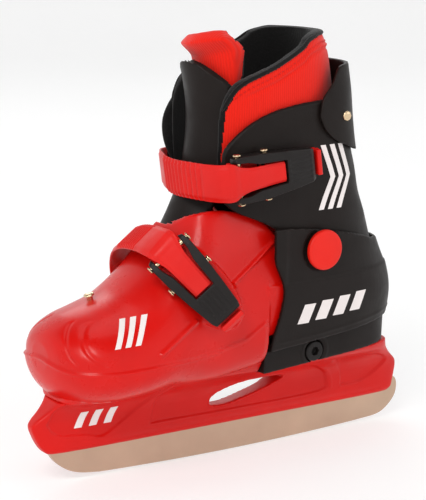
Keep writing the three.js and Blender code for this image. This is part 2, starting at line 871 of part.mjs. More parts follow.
// padded top of the tongue, inside the plastic tongue
const PAD = [
  [-25.4, 196, 18, 8.4],
  [-26.8, 210, 19, 8.8],
  [-29.2, 224, 20.4, 9.6],
  [-30.6, 231, 21, 9.8],
  [-29, 236.4, 19.4, 9],
];
const padRings = PAD.map(([x, z, half, bow], i) => {
  const thick = [8, 10, 11.5, 11, 6][i];
  const front = [6.2, 6.2, 6.8, 0.8, 2.8][i];
  const line = (h, w) =>
    [-1, -0.7, -0.35, 0, 0.35, 0.7, 1].map(
      (t) => new THREE.Vector3(x + h + bow * t * t, t * w, z)
    );
  return [...line(front, half), ...line(front + thick, half - 3).reverse()];
});
add('tongue_pad', loft(padRings, true), foamRed);

// ---- buckles ------------------------------------------------------------------------------
// local frame of a buckle: u along the lever to its tail, v along the hinge pins, w outwards
function frameOf(origin, along, across) {
  const u = new THREE.Vector3(...along).normalize();
  const w = u.clone().cross(new THREE.Vector3(...across)).normalize();
  const v = w.clone().cross(u);
  return new THREE.Matrix4().makeBasis(u, v, w).setPosition(...origin);
}
const upperFrame = frameOf([-21.2, -39.4, 161.9], [0.98, -0.13, 0.13], [-0.17, 0, 0.98]);
const lowerFrame = frameOf([-59.2, -30, 125.1], [0.494, -0.498, -0.713], [0.714, -0.307, 0.628]);

const LEVER_PLAN = [
  [-4, 9.6],
  [-3, 12],
  [2, 12.8],
  [14, 12.4],
  [30, 10.8],
  [43, 9.2],
  [45.5, 8.2],
];
const LEVER_WINDOW = [
  [-6, 9.6],
  [4.5, 9.1],
  [11, 7.2],
  [27.5, 6.2],
];
const mirrored = (half) => [...half, ...half.slice().reverse().map(([u, v]) => [u, -v])];
const LEVER_SIDE = [
  [-4, -1],
  [-3, -2.8],
  [0, -3.6],
  [3, -3.4],
  [12, -3],
  [44, -2.6],
  [45.5, -1.6],
  [45.5, 0.6],
  [43, 2.4],
  [30, 4],
  [15, 4.4],
  [3, 4],
  [-2, 3.2],
  [-4, 1],
];
const PIN_R = 1.5;
const BASE_TOP = -5.4;

function buckle(prefix, frame, under) {
  let lever = meet(
    plateIn(frame, mirrored(LEVER_PLAN), -6, 8),
    cheekIn(frame, LEVER_SIDE, -16, 16)
  );
  lever = cut(lever, plateIn(frame, mirrored(LEVER_WINDOW), -8, 9));
  lever = cut(lever, box(31, 42, -6.4, 6.4, -8, 0.6, frame));
  const pins = [
    [0, 6.9, -1, 'front_low'],
    [0, 6.9, 1, 'front_high'],
    [16, 8.8, -1, 'rear_low'],
    [16, 8.8, 1, 'rear_high'],
  ];
  const turnedAcross = (u, profile) => {
    const points = profile.map(([r, v]) => new THREE.Vector2(r, v));
    return solid(new THREE.LatheGeometry(points, 10).translate(u, 0, 0).applyMatrix4(frame));
  };
  pins.forEach(([u, from, sign, label]) => {
    const hole = [
      [0, sign * 5],
      [PIN_R + GAP, sign * 5],
      [PIN_R + GAP, sign * 20],
      [0, sign * 20],
    ];
    lever = cut(lever, turnedAcross(u, hole));
    const pin = [
      [0, sign * from],
      [PIN_R, sign * from],
      [PIN_R, sign * 13.1],
      [2.4, sign * 13.1],
      [2.1, sign * 13.9],
      [1.2, sign * 14.2],
      [0, sign * 14.2],
    ];
    add(`${prefix}_pin_${label}`, turnedAcross(u, pin), rivetMetal);
  });
  add(`${prefix}_lever`, lever, blackPlastic);

  const plate = [
    [-4, 7],
    [-3, 8.6],
    [3.4, 8.6],
    [8, 7],
    [50, 7],
    [51.4, 5.6],
  ];
  const ear = [
    [-3, BASE_TOP - 0.2],
    [-2.2, 0.8],
    [0, 2.2],
    [2.2, 0.8],
    [3.2, BASE_TOP - 0.2],
  ];
  const stop = [
    [47.2, BASE_TOP - 0.2],
    [47.2, 0],
    [48, 0.8],
    [50, 0.4],
    [51.2, BASE_TOP - 0.2],
  ];
  let base = join(
    plateIn(frame, mirrored(plate), -14, BASE_TOP),
    cheekIn(frame, ear, 6.6, 8.5),
    cheekIn(frame, ear, -8.5, -6.6),
    cheekIn(frame, stop, -7, 7)
  );
  base = cut(base, under);
  [-1, 1].forEach((sign) => {
    const hole = [
      [0, sign * 5],
      [PIN_R + 0.3, sign * 5],
      [PIN_R + 0.3, sign * 20],
      [0, sign * 20],
    ];
    base = cut(base, turnedAcross(0, hole));
  });
  return base;
}
// oval seat moulded on the toe shell for the lower buckle
const seat = Array.from({ length: 16 }, (_, i) => {
  const angle = (i / 16) * 2 * Math.PI;
  return [23 + 30 * Math.cos(angle), 14 * Math.sin(angle)];
});
const seatBody = cut(plateIn(lowerFrame, seat, -26, -7), toeBody(SHELL - 0.6));
toeShell = join(toeShell, cut(seatBody, box(-90, 10, -10, 60, 40, 160)));
let upperBase = buckle(
  'upper',
  upperFrame,
  bootBody(98, 206, TUCK - GAP, 9, -48, 2.7, cuffInset)
);
let lowerBase = buckle('lower', lowerFrame, plateIn(lowerFrame, seat, -40, -7 + GAP));
lowerBase = cut(lowerBase, toeBody(-GAP));

// rivet standing on the third axis of a frame: head above, shank through the wall
function rivet(name, frame, u, v, top, bottom, shank, head, height) {
  const profile = [
    [0, bottom],
    [shank, bottom],
    [shank, top],
    [head, top],
    [head * 0.86, top + height * 0.7],
    [head * 0.5, top + height],
    [0, top + height],
  ];
  add(name, turnedIn(frame, u, v, profile, 8), rivetMetal);
  const hole = [
    [0, bottom - 6],
    [shank + GAP, bottom - 6],
    [shank + GAP, top + 6],
    [0, top + 6],
  ];
  return turnedIn(frame, u, v, hole, 8);
}
[12, 38].forEach((u, i) => {
  const label = i === 0 ? 'front' : 'rear';
  const high = BASE_TOP + 0.3;
  const upperHole = rivet(`upper_base_rivet_${label}`, upperFrame, u, 0, high, -12, 1.5, 2.8, 1);
  upperBase = cut(upperBase, upperHole);
  cuffShell = cut(cuffShell, upperHole);
  const lowerHole = rivet(`lower_base_rivet_${label}`, lowerFrame, u, 0, high, -12, 1.5, 2.8, 1);
  lowerBase = cut(lowerBase, lowerHole);
  toeShell = cut(toeShell, lowerHole);
});
add('upper_buckle_base', upperBase, strapRed);
add('lower_buckle_base', largest(lowerBase), strapRed);

// ---- straps -------------------------------------------------------------------------------
const STRAP_THICK = 2.2;
// neck of a strap between the lever arms: u, height, width
const NECK = [
  [26.3, 1.2, 9.6],
  [18, 1.4, 9.9],
  [9, 2.5, 10.2],
  [4, 2.6, 10.8],
  [-1, 2.6, 14],
];
function strapBody(frame, path, across, width) {
  const local = NECK.map(([u, w]) => new THREE.Vector3(u, 0, w).applyMatrix4(frame));
  const points = [...local, ...path.map((p) => new THREE.Vector3(...p))];
  const near = new THREE.Vector3().setFromMatrixColumn(frame, 1);
  const far = new THREE.Vector3(...across).normalize();
  const rows = points.map((p, i) => {
    const t = points[Math.min(i + 1, points.length - 1)].clone();
    t.sub(points[Math.max(i - 1, 0)]).normalize();
    const share = Math.max(i - NECK.length, 0) / (points.length - NECK.length - 1);
    const lean = near.clone().lerp(far, share).normalize();
    const out = lean.clone().cross(t).normalize();
    const flat = t.clone().cross(out).normalize();
    return [p, flat, out, i < NECK.length ? NECK[i][2] : width];
  });
  return { body: band(rows, STRAP_THICK), rows };
}
const UPPER_PATH = [
  [-26.8, -41.6, 161.2],
  [-31.6, -37.6, 160.8],
  [-35, -29, 160.6],
  [-37.6, -17, 160.6],
  [-37.6, -5, 160.2],
  [-36, 6, 160.4],
  [-32.2, 16, 160.6],
  [-28.4, 25, 160.6],
  [-23.4, 32.4, 160.2],
  [-17, 35.4, 160],
  [-8, 37.3, 160],
];
const LOWER_PATH = [
  [-62.8, -29, 129.2],
  [-62.8, -21, 129.8],
  [-61.2, -12, 129.4],
  [-59.6, -3, 128.5],
  [-57.8, 7, 127],
  [-55.8, 17, 124.4],
  [-52.6, 28.2, 119.4],
  [-49, 36.2, 111.4],
  [-45.8, 40.6, 103.6],
  [-43, 42.6, 96.6],
];
const upperStrap = strapBody(upperFrame, UPPER_PATH, [-0.14, 0, 0.99], 20.5);
const lowerStrap = strapBody(lowerFrame, LOWER_PATH, [0.82, 0, 0.57], 18.5);

function anchorFrame(strap, index) {
  const [p, flat, out] = strap.rows[index];
  const along = flat.clone().cross(out);
  return new THREE.Matrix4().makeBasis(along, flat, out).setPosition(p);
}
const upperAnchor = anchorFrame(upperStrap, NECK.length + 9);
const lowerAnchor = anchorFrame(lowerStrap, NECK.length + 8);
const strapHead = STRAP_THICK + 0.5;
const upperHole = rivet('upper_strap_rivet', upperAnchor, 0, 0, strapHead, -4.2, 2, 4.4, 1.4);
const lowerHole = rivet('lower_strap_rivet', lowerAnchor, 0, 0, strapHead, -4.2, 2, 4.4, 1.4);
cuffShell = cut(cuffShell, upperHole);
toeShell = cut(toeShell, lowerHole);
add('upper_strap', cut(upperStrap.body, upperHole), strapRed);
add('lower_strap', cut(lowerStrap.body, lowerHole), strapRed);

// rivet that closes the overlap of the toe shell over the toes
const toeRivetFrame = frameOf([-88.2, 5, 98.8], [0.96, 0, 0.27], [0, 1, 0]);
toeShell = cut(toeShell, rivet('toe_rivet', toeRivetFrame, 0, 0, 0.5, -3.6, 1.8, 3.3, 1.3));

// rivets of the rear spoiler
[-1, 1].forEach((sign) => {
  const at = frameOf([50, sign * 36.6, 191], [1, 0, 0], [0, 0, -sign]);
  const name = `spoiler_rivet_${sign < 0 ? 'outer' : 'inner'}`;
  const hole = rivet(name, at, 0, 0, 1.9, -4.6, 1.6, 3, 1.2);
  spoiler = cut(spoiler, hole);
  cuffShell = cut(cuffShell, hole);
});

// screws that fasten the toe shell to the size rail
railScrews.forEach((x, i) => {
  const profile = [
    [0, -9.2],
    [1.6, -9.2],
    [1.6, -1.2],
    [4, -1.2],
    [3.6, 0],
    [0, 0],
  ];
  const lathe = new THREE.LatheGeometry(profile.map(([r, h]) => new THREE.Vector2(r, h)), 10);
  lathe.rotateX(Math.PI / 2).translate(x, 0, toeSole(x) + 2.7);
  add(`rail_screw_${i + 1}`, solid(lathe), rivetMetal);
  const drill = new THREE.CylinderGeometry(2, 2, 40, 8).rotateX(Math.PI / 2);
  sizeRail = cut(sizeRail, solid(drill.translate(x, 0, 50)));
});
add('size_rail', sizeRail, steel);
add('toe_shell', toeShell, redPlastic);
add('cuff_shell', cuffShell, blackPlastic);
add('rear_spoiler', spoiler, blackPlastic);

export default group;
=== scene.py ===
"""Child's hard-shell ice skate, left foot: smooth moulded shells, soft inner boot, straps,
buckles, runner and finishes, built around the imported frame. The shape tables are in
millimetres; every Blender object is in metres."""

import json
import math

import bmesh
import bpy
import numpy as np
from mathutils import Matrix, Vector
from mathutils.bvhtree import BVHTree


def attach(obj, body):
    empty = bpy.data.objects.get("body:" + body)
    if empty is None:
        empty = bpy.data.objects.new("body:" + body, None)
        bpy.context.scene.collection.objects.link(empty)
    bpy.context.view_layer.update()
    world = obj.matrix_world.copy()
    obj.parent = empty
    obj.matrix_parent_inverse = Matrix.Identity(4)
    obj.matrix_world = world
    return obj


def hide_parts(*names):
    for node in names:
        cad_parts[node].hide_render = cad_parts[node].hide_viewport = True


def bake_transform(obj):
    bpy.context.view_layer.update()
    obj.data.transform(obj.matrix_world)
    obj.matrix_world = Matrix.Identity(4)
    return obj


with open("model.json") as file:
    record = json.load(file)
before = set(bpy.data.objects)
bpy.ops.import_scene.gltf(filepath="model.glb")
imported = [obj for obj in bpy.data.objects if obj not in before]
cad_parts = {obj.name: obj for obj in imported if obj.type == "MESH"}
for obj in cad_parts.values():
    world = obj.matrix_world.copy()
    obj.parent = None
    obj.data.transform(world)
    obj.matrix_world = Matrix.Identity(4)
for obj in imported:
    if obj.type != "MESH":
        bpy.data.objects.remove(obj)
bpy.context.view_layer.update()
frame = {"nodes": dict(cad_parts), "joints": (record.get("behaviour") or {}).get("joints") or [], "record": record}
nodes = frame["nodes"]
scene = bpy.context.scene
MM = 0.001

GAP = 0.35
SHELL = 2.8
CUFF_WALL = 2.6
TUCK = SHELL + GAP + 0.05
SOLE_THICK = 3
RING = 96


# ---- shape formulas ------------------------------------------------------------------------
def smooth_row(rows, t):
    """Smooth interpolation in rows sorted by their first number."""
    last = len(rows) - 1
    i = 0
    while i < last - 1 and t > rows[i + 1][0]:
        i += 1
    a, b = np.array(rows[i], float), np.array(rows[i + 1], float)
    before, after = np.array(rows[max(i - 1, 0)], float), np.array(rows[min(i + 2, last)], float)
    h = b[0] - a[0]
    s = min(max((t - a[0]) / h, 0), 1)
    ma = (b - before) / (b[0] - before[0]) * h
    mb = (after - a) / (after[0] - a[0]) * h
    row = a * (2 * s**3 - 3 * s**2 + 1) + ma * (s**3 - 2 * s**2 + s)
    row += b * (3 * s**2 - 2 * s**3) + mb * (s**3 - s**2)
    row[0] = t
    return row


def rows_between(rows, low, high, count):
    return [smooth_row(rows, t) for t in np.linspace(low, high, count)]


def power(value, n):
    return math.copysign(abs(value) ** (2 / n), value)


def level_ring(z, front, middle, rear, half, n=2.7, count=RING):
    ring = []
    for i in range(count):
        angle = (i + 0.5) / count * math.tau
        c = math.cos(angle)
        reach = rear - middle if c > 0 else middle - front
        ring.append((middle + reach * power(c, n), half * power(math.sin(angle), n), z))
    return ring


def cross_ring(x, low, middle, top, half, n_low, n_high, count=RING):
    ring = []
    for i in range(count):
        angle = (i + 0.5) / count * math.tau
        s = math.sin(angle)
        reach, n = (top - middle, n_high) if s > 0 else (middle - low, n_low)
        ring.append((x, half * power(math.cos(angle), n), middle + reach * power(s, n)))
    return ring


def curve_through(points, per=6):
    """A smooth run of points through the given ones, in two or three dimensions."""
    p = [np.array(q, float) for q in points]
    p = [2 * p[0] - p[1]] + p + [2 * p[-1] - p[-2]]
    out = []
    for i in range(1, len(p) - 2):
        for k in range(per):
            t = k / per
            a, b, c, d = p[i - 1:i + 3]
            out.append(0.5 * (2 * b + (c - a) * t + (2 * a - 5 * b + 4 * c - d) * t * t
                              + (3 * b - a - 3 * c + d) * t**3))
    out.append(p[-2])
    return out


def arc(x, z, angles, radius, height=None):
    """Points of a circle, or of an oval where a height is given, around (x, z)."""
    return [(x + radius * math.cos(a), z + (height or radius) * math.sin(a)) for a in angles]


def unit(vectors):
    return vectors / (np.linalg.norm(vectors, axis=1)[:, None] + 1e-9)


def ease(value, low, high):
    t = np.clip((value - low) / (high - low), 0, 1)
    return t * t * (3 - 2 * t)


# ---- mesh helpers --------------------------------------------------------------------------
def show(name, data):
    obj = bpy.data.objects.new(name, data)
    scene.collection.objects.link(obj)
    return obj


def new_object(name, points, faces):
    mesh = bpy.data.meshes.new(name)
    mesh.from_pydata([tuple(np.asarray(p, float) * MM) for p in points], [], faces)
    work = bmesh.new()
    work.from_mesh(mesh)
    bmesh.ops.recalc_face_normals(work, faces=work.faces)
    work.to_mesh(mesh)
    work.free()
    return show(name, mesh)


def walls(n, strips, first=0):
    """Faces between rings of n points each, whose points follow one another from the first."""
    faces = []
    for low in range(first, first + strips * n, n):
        faces += [(low + j, low + (j + 1) % n, low + n + (j + 1) % n, low + n + j) for j in range(n)]
    return faces


def loft(name, rings):
    n = len(rings[0])
    points = [p for ring in rings for p in ring]
    ends = [tuple(range(n)), tuple(range(len(points) - n, len(points)))]
    return new_object(name, points, walls(n, len(rings) - 1) + ends)


def across_at(x, z, sign=1):
    """Places a turned piece on an axis across the boot, through (x, z)."""
    return lambda a, b, y: (x + a, sign * y, z + b)


def plate(name, outline, low, high, place):
    """An outline drawn out between two distances; place turns (a, b, distance) into a point."""
    return loft(name, [[place(a, b, distance) for a, b in outline] for distance in (low, high)])


def side(name, outline, y0, y1):
    return plate(name, outline, y0, y1, lambda x, z, y: (x, y, z))


def lathe(name, profile, place, count=64):
    """A turned solid: profile of (radius, height); place turns (a, b, height) into a point."""
    rings = []
    for r, h in profile:
        rings.append([place(r * math.cos(math.tau * i / count), r * math.sin(math.tau * i / count), h)
                      for i in range(count)])
    return loft(name, rings)


def bake(obj):
    graph = bpy.context.evaluated_depsgraph_get()
    graph.update()
    mesh = bpy.data.meshes.new_from_object(obj.evaluated_get(graph))
    obj.modifiers.clear()
    obj.data = mesh
    return obj


def boolean(obj, tool, operation):
    modifier = obj.modifiers.new("join", "BOOLEAN")
    modifier.object = tool
    modifier.operation = operation
    modifier.solver = "EXACT"
    bake(obj)
    bpy.data.objects.remove(tool)
    return obj


def cut(obj, *tools):
    for tool in tools:
        boolean(obj, tool, "DIFFERENCE")
    return obj


def join(obj, *tools):
    for tool in tools:
        boolean(obj, tool, "UNION")
    return obj


def meet(obj, tool):
    return boolean(obj, tool, "INTERSECT")


def mould(obj, voxel, passes):
    """Rounds every edge the way a moulding does: an even fine mesh, lightly smoothed."""
    remesh = obj.modifiers.new("even", "REMESH")
    remesh.mode = "VOXEL"
    remesh.voxel_size = voxel * MM * 1
    relax = obj.modifiers.new("relax", "SMOOTH")
    relax.factor = 0.5
    relax.iterations = passes
    bake(obj)
    obj.data.polygons.foreach_set("use_smooth", [True] * len(obj.data.polygons))
    return obj


def read(obj):
    """Points and outward normals of a mesh, points in millimetres."""
    mesh = obj.data
    points = np.empty(len(mesh.vertices) * 3)
    mesh.vertices.foreach_get("co", points)
    normals = np.empty(len(mesh.vertices) * 3)
    mesh.vertex_normals.foreach_get("vector", normals)
    return points.reshape(-1, 3) / MM, normals.reshape(-1, 3)


def write(obj, points):
    obj.data.vertices.foreach_set("co", (points * MM).ravel())
    obj.data.update()


def smooth_sides(obj):
    obj.data.polygons.foreach_set("use_smooth", [len(f.vertices) == 4 for f in obj.data.polygons])
    return obj


def facing_out(points, normals):
    """From 0 to 1: how far the surface faces out to its side, or backwards."""
    return np.clip(normals[:, 1] * np.sign(points[:, 1]) * 2 + normals[:, 0], 0, 1)


def lengths_along(path):
    return np.concatenate([[0], np.cumsum(np.linalg.norm(np.diff(path, axis=0), axis=1))])


def tangents(path):
    tangent = np.gradient(path, axis=0)
    return tangent / np.linalg.norm(tangent, axis=1)[:, None]


def line_distance(flat, line):
    """Distance of flat points to a polyline."""
    best = np.full(len(flat), 1e9)
    for a, b in zip(line[:-1], line[1:]):
        a, b = np.array(a, float), np.array(b, float)
        d = b - a
        t = np.clip(((flat - a) @ d) / (d @ d), 0, 1)
        away = flat - (a + t[:, None] * d)
        best = np.minimum(best, np.hypot(away[:, 0], away[:, 1]))
    return best


def bead(points, normals, line, width, height, where, flat=None):
    """Raises (or, with a height below zero, sinks) the surface along a line, in the side view
    unless another flat view of the points is given."""
    distance = line_distance(points[:, [0, 2]] if flat is None else flat, line)
    lift = height * np.exp(-(distance / width) ** 2) * where
    return points + normals * lift[:, None]


def inside_outline(flat, outline):
    inside = np.zeros(len(flat), bool)
    for (x0, y0), (x1, y1) in zip(outline, outline[1:] + outline[:1]):
        crosses = (y0 > flat[:, 1]) != (y1 > flat[:, 1])
        at = (x1 - x0) * (flat[:, 1] - y0) / (y1 - y0 + 1e-12) + x0
        inside ^= crosses & (flat[:, 0] < at)
    return inside


def panel(points, normals, flat, outline, depth, edge, where):
    """Sinks the area inside an outline, with a soft edge."""
    distance = line_distance(flat, outline + outline[:1])
    inside = inside_outline(flat, outline)
    sink = depth * ease(np.where(inside, distance, 0), 0, edge) * where
    return points - normals * sink[:, None]


def dress(obj, material, body, slot, *replaced):
    """Gives a piece its material and body and hides the nodes it stands for; a piece that bends
    between two bodies has None as its body. The slot is not used."""
    obj.data.materials.clear()
    obj.data.materials.append(material)
    if body:
        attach(obj, body)
    if replaced:
        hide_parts(*replaced)
    return obj


# ---- materials -----------------------------------------------------------------------------
def feed(tree, node, **inputs):
    """Sets inputs by name: a socket is linked, and anything else is the input's own value."""
    for key, value in inputs.items():
        socket = node.inputs[key.replace("_", " ")]
        if isinstance(value, bpy.types.NodeSocket):
            tree.links.new(value, socket)
        else:
            socket.default_value = value


def add_node(tree, kind, **inputs):
    node = tree.nodes.new("ShaderNode" + kind)
    feed(tree, node, **inputs)
    return node


def shader(name):
    material = bpy.data.materials.new(name)
    material.use_nodes = True
    tree = material.node_tree
    return material, tree, tree.nodes["Principled BSDF"], add_node(tree, "TexCoord").outputs["Object"]


def noise(tree, place, scale, detail, rough=0.5):
    node = add_node(tree, "TexNoise", Vector=place, Scale=scale, Detail=detail, Roughness=rough)
    return node.outputs["Fac"]


def wave(tree, place, axis, scale, **inputs):
    node = add_node(tree, "TexWave", Vector=place, Scale=scale, **inputs)
    node.bands_direction = axis
    return node.outputs["Fac"]


def ramp(tree, value, *stops):
    node = add_node(tree, "ValToRGB", Fac=value)
    elements = node.color_ramp.elements
    while len(elements) < len(stops):
        elements.new(0.5)
    for element, (at, color) in zip(elements, stops):
        element.position = at
        element.color = (*color, 1)
    return node.outputs["Color"]


def span(tree, value, low, high, to_low, to_high):
    node = add_node(tree, "MapRange", Value=value, From_Min=low, From_Max=high,
                    To_Min=to_low, To_Max=to_high)
    return node.outputs["Result"]


def blend_color(tree, share, first, second):
    node = tree.nodes.new("ShaderNodeMix")
    node.data_type = "RGBA"
    for socket, value in ((0, share), (6, first), (7, second)):
        if isinstance(value, bpy.types.NodeSocket):
            tree.links.new(value, node.inputs[socket])
        else:
            node.inputs[socket].default_value = (*value, 1)
    return node.outputs[2]


def bump(tree, surface, *layers):
    """Stacks bump layers, each (height, distance in metres, strength)."""
    last = {}
    for height, distance, strength in layers:
        node = add_node(tree, "Bump", Height=height, Distance=distance, Strength=strength, **last)
        last = {"Normal": node.outputs["Normal"]}
    feed(tree, surface, **last)


def linear(color):
    """The linear values of a colour that is given as 0 to 255 on a screen."""
    v = np.array(color) / 255
    return np.where(v <= 0.04045, v / 12.92, ((v + 0.055) / 1.055) ** 2.4)


def plastic(name, color, rough, grain=0.35, edge_highlight=1.35, coat=0.0, specular=0.3):
    """Moulded plastic: faint cloudy colour, a fine peel, dull scuffs and a painted highlight on convex edges."""
    material, tree, surface, place = shader(name)
    base = linear(color)
    cloud = ramp(tree, noise(tree, place, 22, 4), (0.3, base * 0.9), (0.7, base * 1.08))
    # convex edges are painted lighter: a painted highlight along the edges
    pointy = tree.nodes.new("ShaderNodeNewGeometry").outputs["Pointiness"]
    edge = span(tree, pointy, 0.53, 0.62, 0, 0.55)
    tint = blend_color(tree, edge, cloud, np.clip(base * edge_highlight + 0.012, 0, 1))
    dull = span(tree, noise(tree, place, 60, 6, 0.62), 0.35, 0.72, rough * 0.85, rough * 1.35)
    feed(tree, surface, Base_Color=tint, Roughness=dull, Specular_IOR_Level=specular,
         Coat_Weight=coat, Coat_Roughness=0.12)
    peel, fine = noise(tree, place, 130, 2), noise(tree, place, 1500, 2)
    bump(tree, surface, (peel, 0.0004, 0.05), (fine, 0.00012, grain))
    return material


def metal(name, color, rough, brushed):
    """Plated or ground metal: grinding lines, smudges and small scratches."""
    material, tree, surface, place = shader(name)
    base = linear(color)
    stretch = add_node(tree, "Mapping", Vector=place, Scale=(14, 400, 1400))
    lines = noise(tree, stretch.outputs["Vector"], 1.0, 4, 0.6)
    smudge = noise(tree, place, 35, 4)
    tint = ramp(tree, smudge, (0.3, base * 0.9), (0.75, np.clip(base * 1.06, 0, 1)))
    dull = span(tree, smudge, 0.3, 0.7, rough * 0.8, rough * 1.25)
    feed(tree, surface, Metallic=1, Base_Color=tint, Roughness=dull)
    bump(tree, surface, (lines, 0.00006, brushed), (noise(tree, place, 700, 3), 0.00004, 0.12))
    return material


def knit(name, color, rib_axis, pitch, depth):
    """Ribbed knit: ribs across one axis with painted shade in their valleys, fine yarn bumps along them, and fuzz.
    """
    material, tree, surface, place = shader(name)
    base = linear(color)
    scale = math.tau / (20 * pitch * MM)
    rib = wave(tree, place, rib_axis, scale, Distortion=0.25, Detail=2, Detail_Scale=2)
    yarn = noise(tree, place, 1500, 3, 0.6)
    cloud = noise(tree, place, 28, 4)
    # the ribs are painted darker in their valleys and lighter on their crests: painted shade between the ribs
    painted_rib_shade = blend_color(tree, rib, base * 0.9, np.clip(base * 1.05, 0, 1))
    tint = blend_color(tree, span(tree, cloud, 0.3, 0.7, 0, 0.35), painted_rib_shade, base * 0.85)
    feed(tree, surface, Base_Color=tint, Roughness=0.9, Sheen_Weight=0.25, Sheen_Roughness=0.45,
         Specular_IOR_Level=0.2)
    bump(tree, surface, (rib, 0.0005, depth), (yarn, 0.0002, 0.5))
    return material


def woven(name, color, scale=900):
    """Dark brushed lining and woven tape: crossing threads under a short nap."""
    material, tree, surface, place = shader(name)
    base = linear(color)
    threads = [wave(tree, place, axis, scale / 2.2, Distortion=1.2) for axis in ("DIAGONAL", "Z")]
    nap = noise(tree, place, scale, 4, 0.65)
    tint = ramp(tree, nap, (0.25, base * 0.7), (0.8, base * 1.8 + 0.002))
    feed(tree, surface, Base_Color=tint, Roughness=0.95, Sheen_Weight=0.15, Sheen_Roughness=0.5,
         Specular_IOR_Level=0.15)
    bump(tree, surface, (threads[0], 0.0002, 0.3), (threads[1], 0.0002, 0.3), (nap, 0.0003, 0.6))
    return material


RED = plastic("shell_red", (208, 11, 4), rough=0.29, coat=0.1, specular=0.22)
RED_HOLDER = plastic("holder_red", (204, 12, 5), rough=0.38, coat=0.03, specular=0.22)
RED_STRAP = plastic("strap_red", (212, 17, 9), rough=0.42, grain=0.5)
RED_DISC = plastic("cover_red", (226, 26, 9), rough=0.45, grain=0.5)
# the black plastics get a stronger painted highlight on their edges
BLACK = plastic("shell_black", (27, 21, 19), rough=0.42, grain=0.7, edge_highlight=2.2, specular=0.15)
BLACK_HARD = plastic("buckle_black", (27, 23, 22), rough=0.38, grain=0.6, edge_highlight=2.4, specular=0.22)
STEEL = metal("runner_steel", (196, 168, 146), 0.36, brushed=0.5)
PLATED = metal("plated_rivet", (222, 196, 160), 0.24, brushed=0.1)
KNIT_RED = knit("knit_red", (232, 30, 12), "Y", 1.3, depth=0.3)
KNIT_COLLAR = knit("knit_collar_red", (232, 30, 12), "X", 1.3, depth=0.22)
LINING = woven("lining_black", (13, 12, 12))
TAPE = woven("binding_black", (16, 14, 14), scale=1500)
THREAD_RED = woven("thread_red", (196, 24, 16), scale=2500)
BOARD = woven("insole_grey", (74, 74, 72), scale=1200)
INK = plastic("ink_white", (236, 228, 226), rough=0.5, grain=0.2, edge_highlight=1.0)


# ---- lines of the boot ---------------------------------------------------------------------
# height, rear end, half width of the outside of the boot behind the toe shell
BOOT = [
    [58, 96, 31.5], [70, 100, 34.5], [86, 101.5, 37.3], [100, 98, 39], [117, 90, 40],
    [133, 83.5, 40], [150, 76.5, 39.7], [168, 69.8, 39], [184, 66.8, 38.6], [204, 65, 37.6],
    [222, 63, 35.4],
]
BOOT_MIDDLE = 34
PIVOT_X, PIVOT_Z = 34, 118.5
SOLE_Z, SOLE_SLOPE = 56, 0.08
HEEL_LOW, HEEL_SLOPE = 61.7, 0.1
BASE_FRONT, BASE_LOW, BASE_SLOPE = 4, 48.4, 0.07
BOLT_X, BOLT_Z = 38, 57.4


def toe_sole(x):
    return SOLE_Z + SOLE_SLOPE * x


def heel_sole(x):
    return HEEL_LOW + HEEL_SLOPE * x


def base_low(x):
    return BASE_LOW + BASE_SLOPE * x


def above(line, lift=0.0):
    """Everything above a straight line in the side view."""
    return [(-150, line(-150) + lift), (140, line(140) + lift), (140, 300), (-150, 300)]


def boot_body(z0, z1, inset, front, extra=lambda z: 0, steps=34):
    rings = []
    for z, rear, half in rows_between(BOOT, z0, z1, steps + 1):
        d = inset + extra(z)
        rings.append(level_ring(z, front + d, BOOT_MIDDLE, rear - d, half - d))
    return loft("boot", rings)


def cuff_inset(z):
    low = min(max((134 - z) / 14, 0), 1)
    return 0.8 * low - (TUCK - 1.2) * float(ease(z, 143, 165))


# x, underside, widest height, top, half width of the toe shell
TOE = [
    [-121, 63, 72, 79, 9], [-119.5, 57, 71, 83, 18], [-115, 51, 69, 87.3, 27.5],
    [-106, 46, 67, 92, 35.5], [-92, 44.6, 66, 95.8, 41], [-78, 45.8, 67, 100.6, 43.3],
    [-68, 46.6, 69, 107.5, 43.3], [-58, 47.4, 72, 117, 42.6], [-50, 48, 74, 127, 41.5],
    [-43, 48.6, 76, 144, 40.2], [-35, 49.2, 78, 161, 38.8], [-24, 50, 80, 170, 37],
    [-14, 50.9, 82, 173, 35.8], [2, 52.2, 85, 176, 34.6], [31, 54.5, 86, 178, 34.4],
]


def toe_body(inset, start=-121):
    rings = []
    for share in np.linspace(0, 1, 65):
        x = start + (TOE[-1][0] - start) * share**1.5
        _, low, middle, top, half = smooth_row(TOE, x)
        d = inset + (2.4 * math.exp((start - x) / 2.5) if inset > 1 else 0)
        n_low = (2.2 if inset > 1 else 2.1) + 1.7 * float(ease(x, -62, -22))
        rings.append(cross_ring(x, low + d, middle, top - d, half - d, n_low, 2.05))
    return loft("toe", rings)


# height, front, half width and squareness of the toe shell's flared foot
FLARE = [
    [46, -113.4, 19, 5], [50, -113.2, 22.5, 4.6], [53, -113.6, 27, 3.8], [55, -114.4, 31, 3.2],
    [57.2, -116.2, 34.5, 2.6],
]


def flare_body():
    rows = rows_between(FLARE, FLARE[0][0], FLARE[-1][0], 15)
    return loft("flare", [level_ring(z, front, -60, 2.4, half, n) for z, front, half, n in rows])


def local_frame(joint_name, along):
    """A buckle's frame from its hinge: u to the tail, v along the hinge, w outwards."""
    joint = next(j for j in frame["joints"] if j["name"] == joint_name)
    origin = np.array(joint["pos_m"]) / MM
    v = -np.array(joint["axis"], float)
    v /= np.linalg.norm(v)
    u = np.array(along, float)
    u -= v * (u @ v)
    u /= np.linalg.norm(u)
    return origin, u, v, np.cross(u, v)


UPPER = local_frame("upper_lever_swing", (0.98, -0.13, 0.13))
LOWER = local_frame("lower_lever_swing", (0.494, -0.498, -0.713))


def at(place, u, v, w):
    origin, du, dv, dw = place
    return origin + du * u + dv * v + dw * w


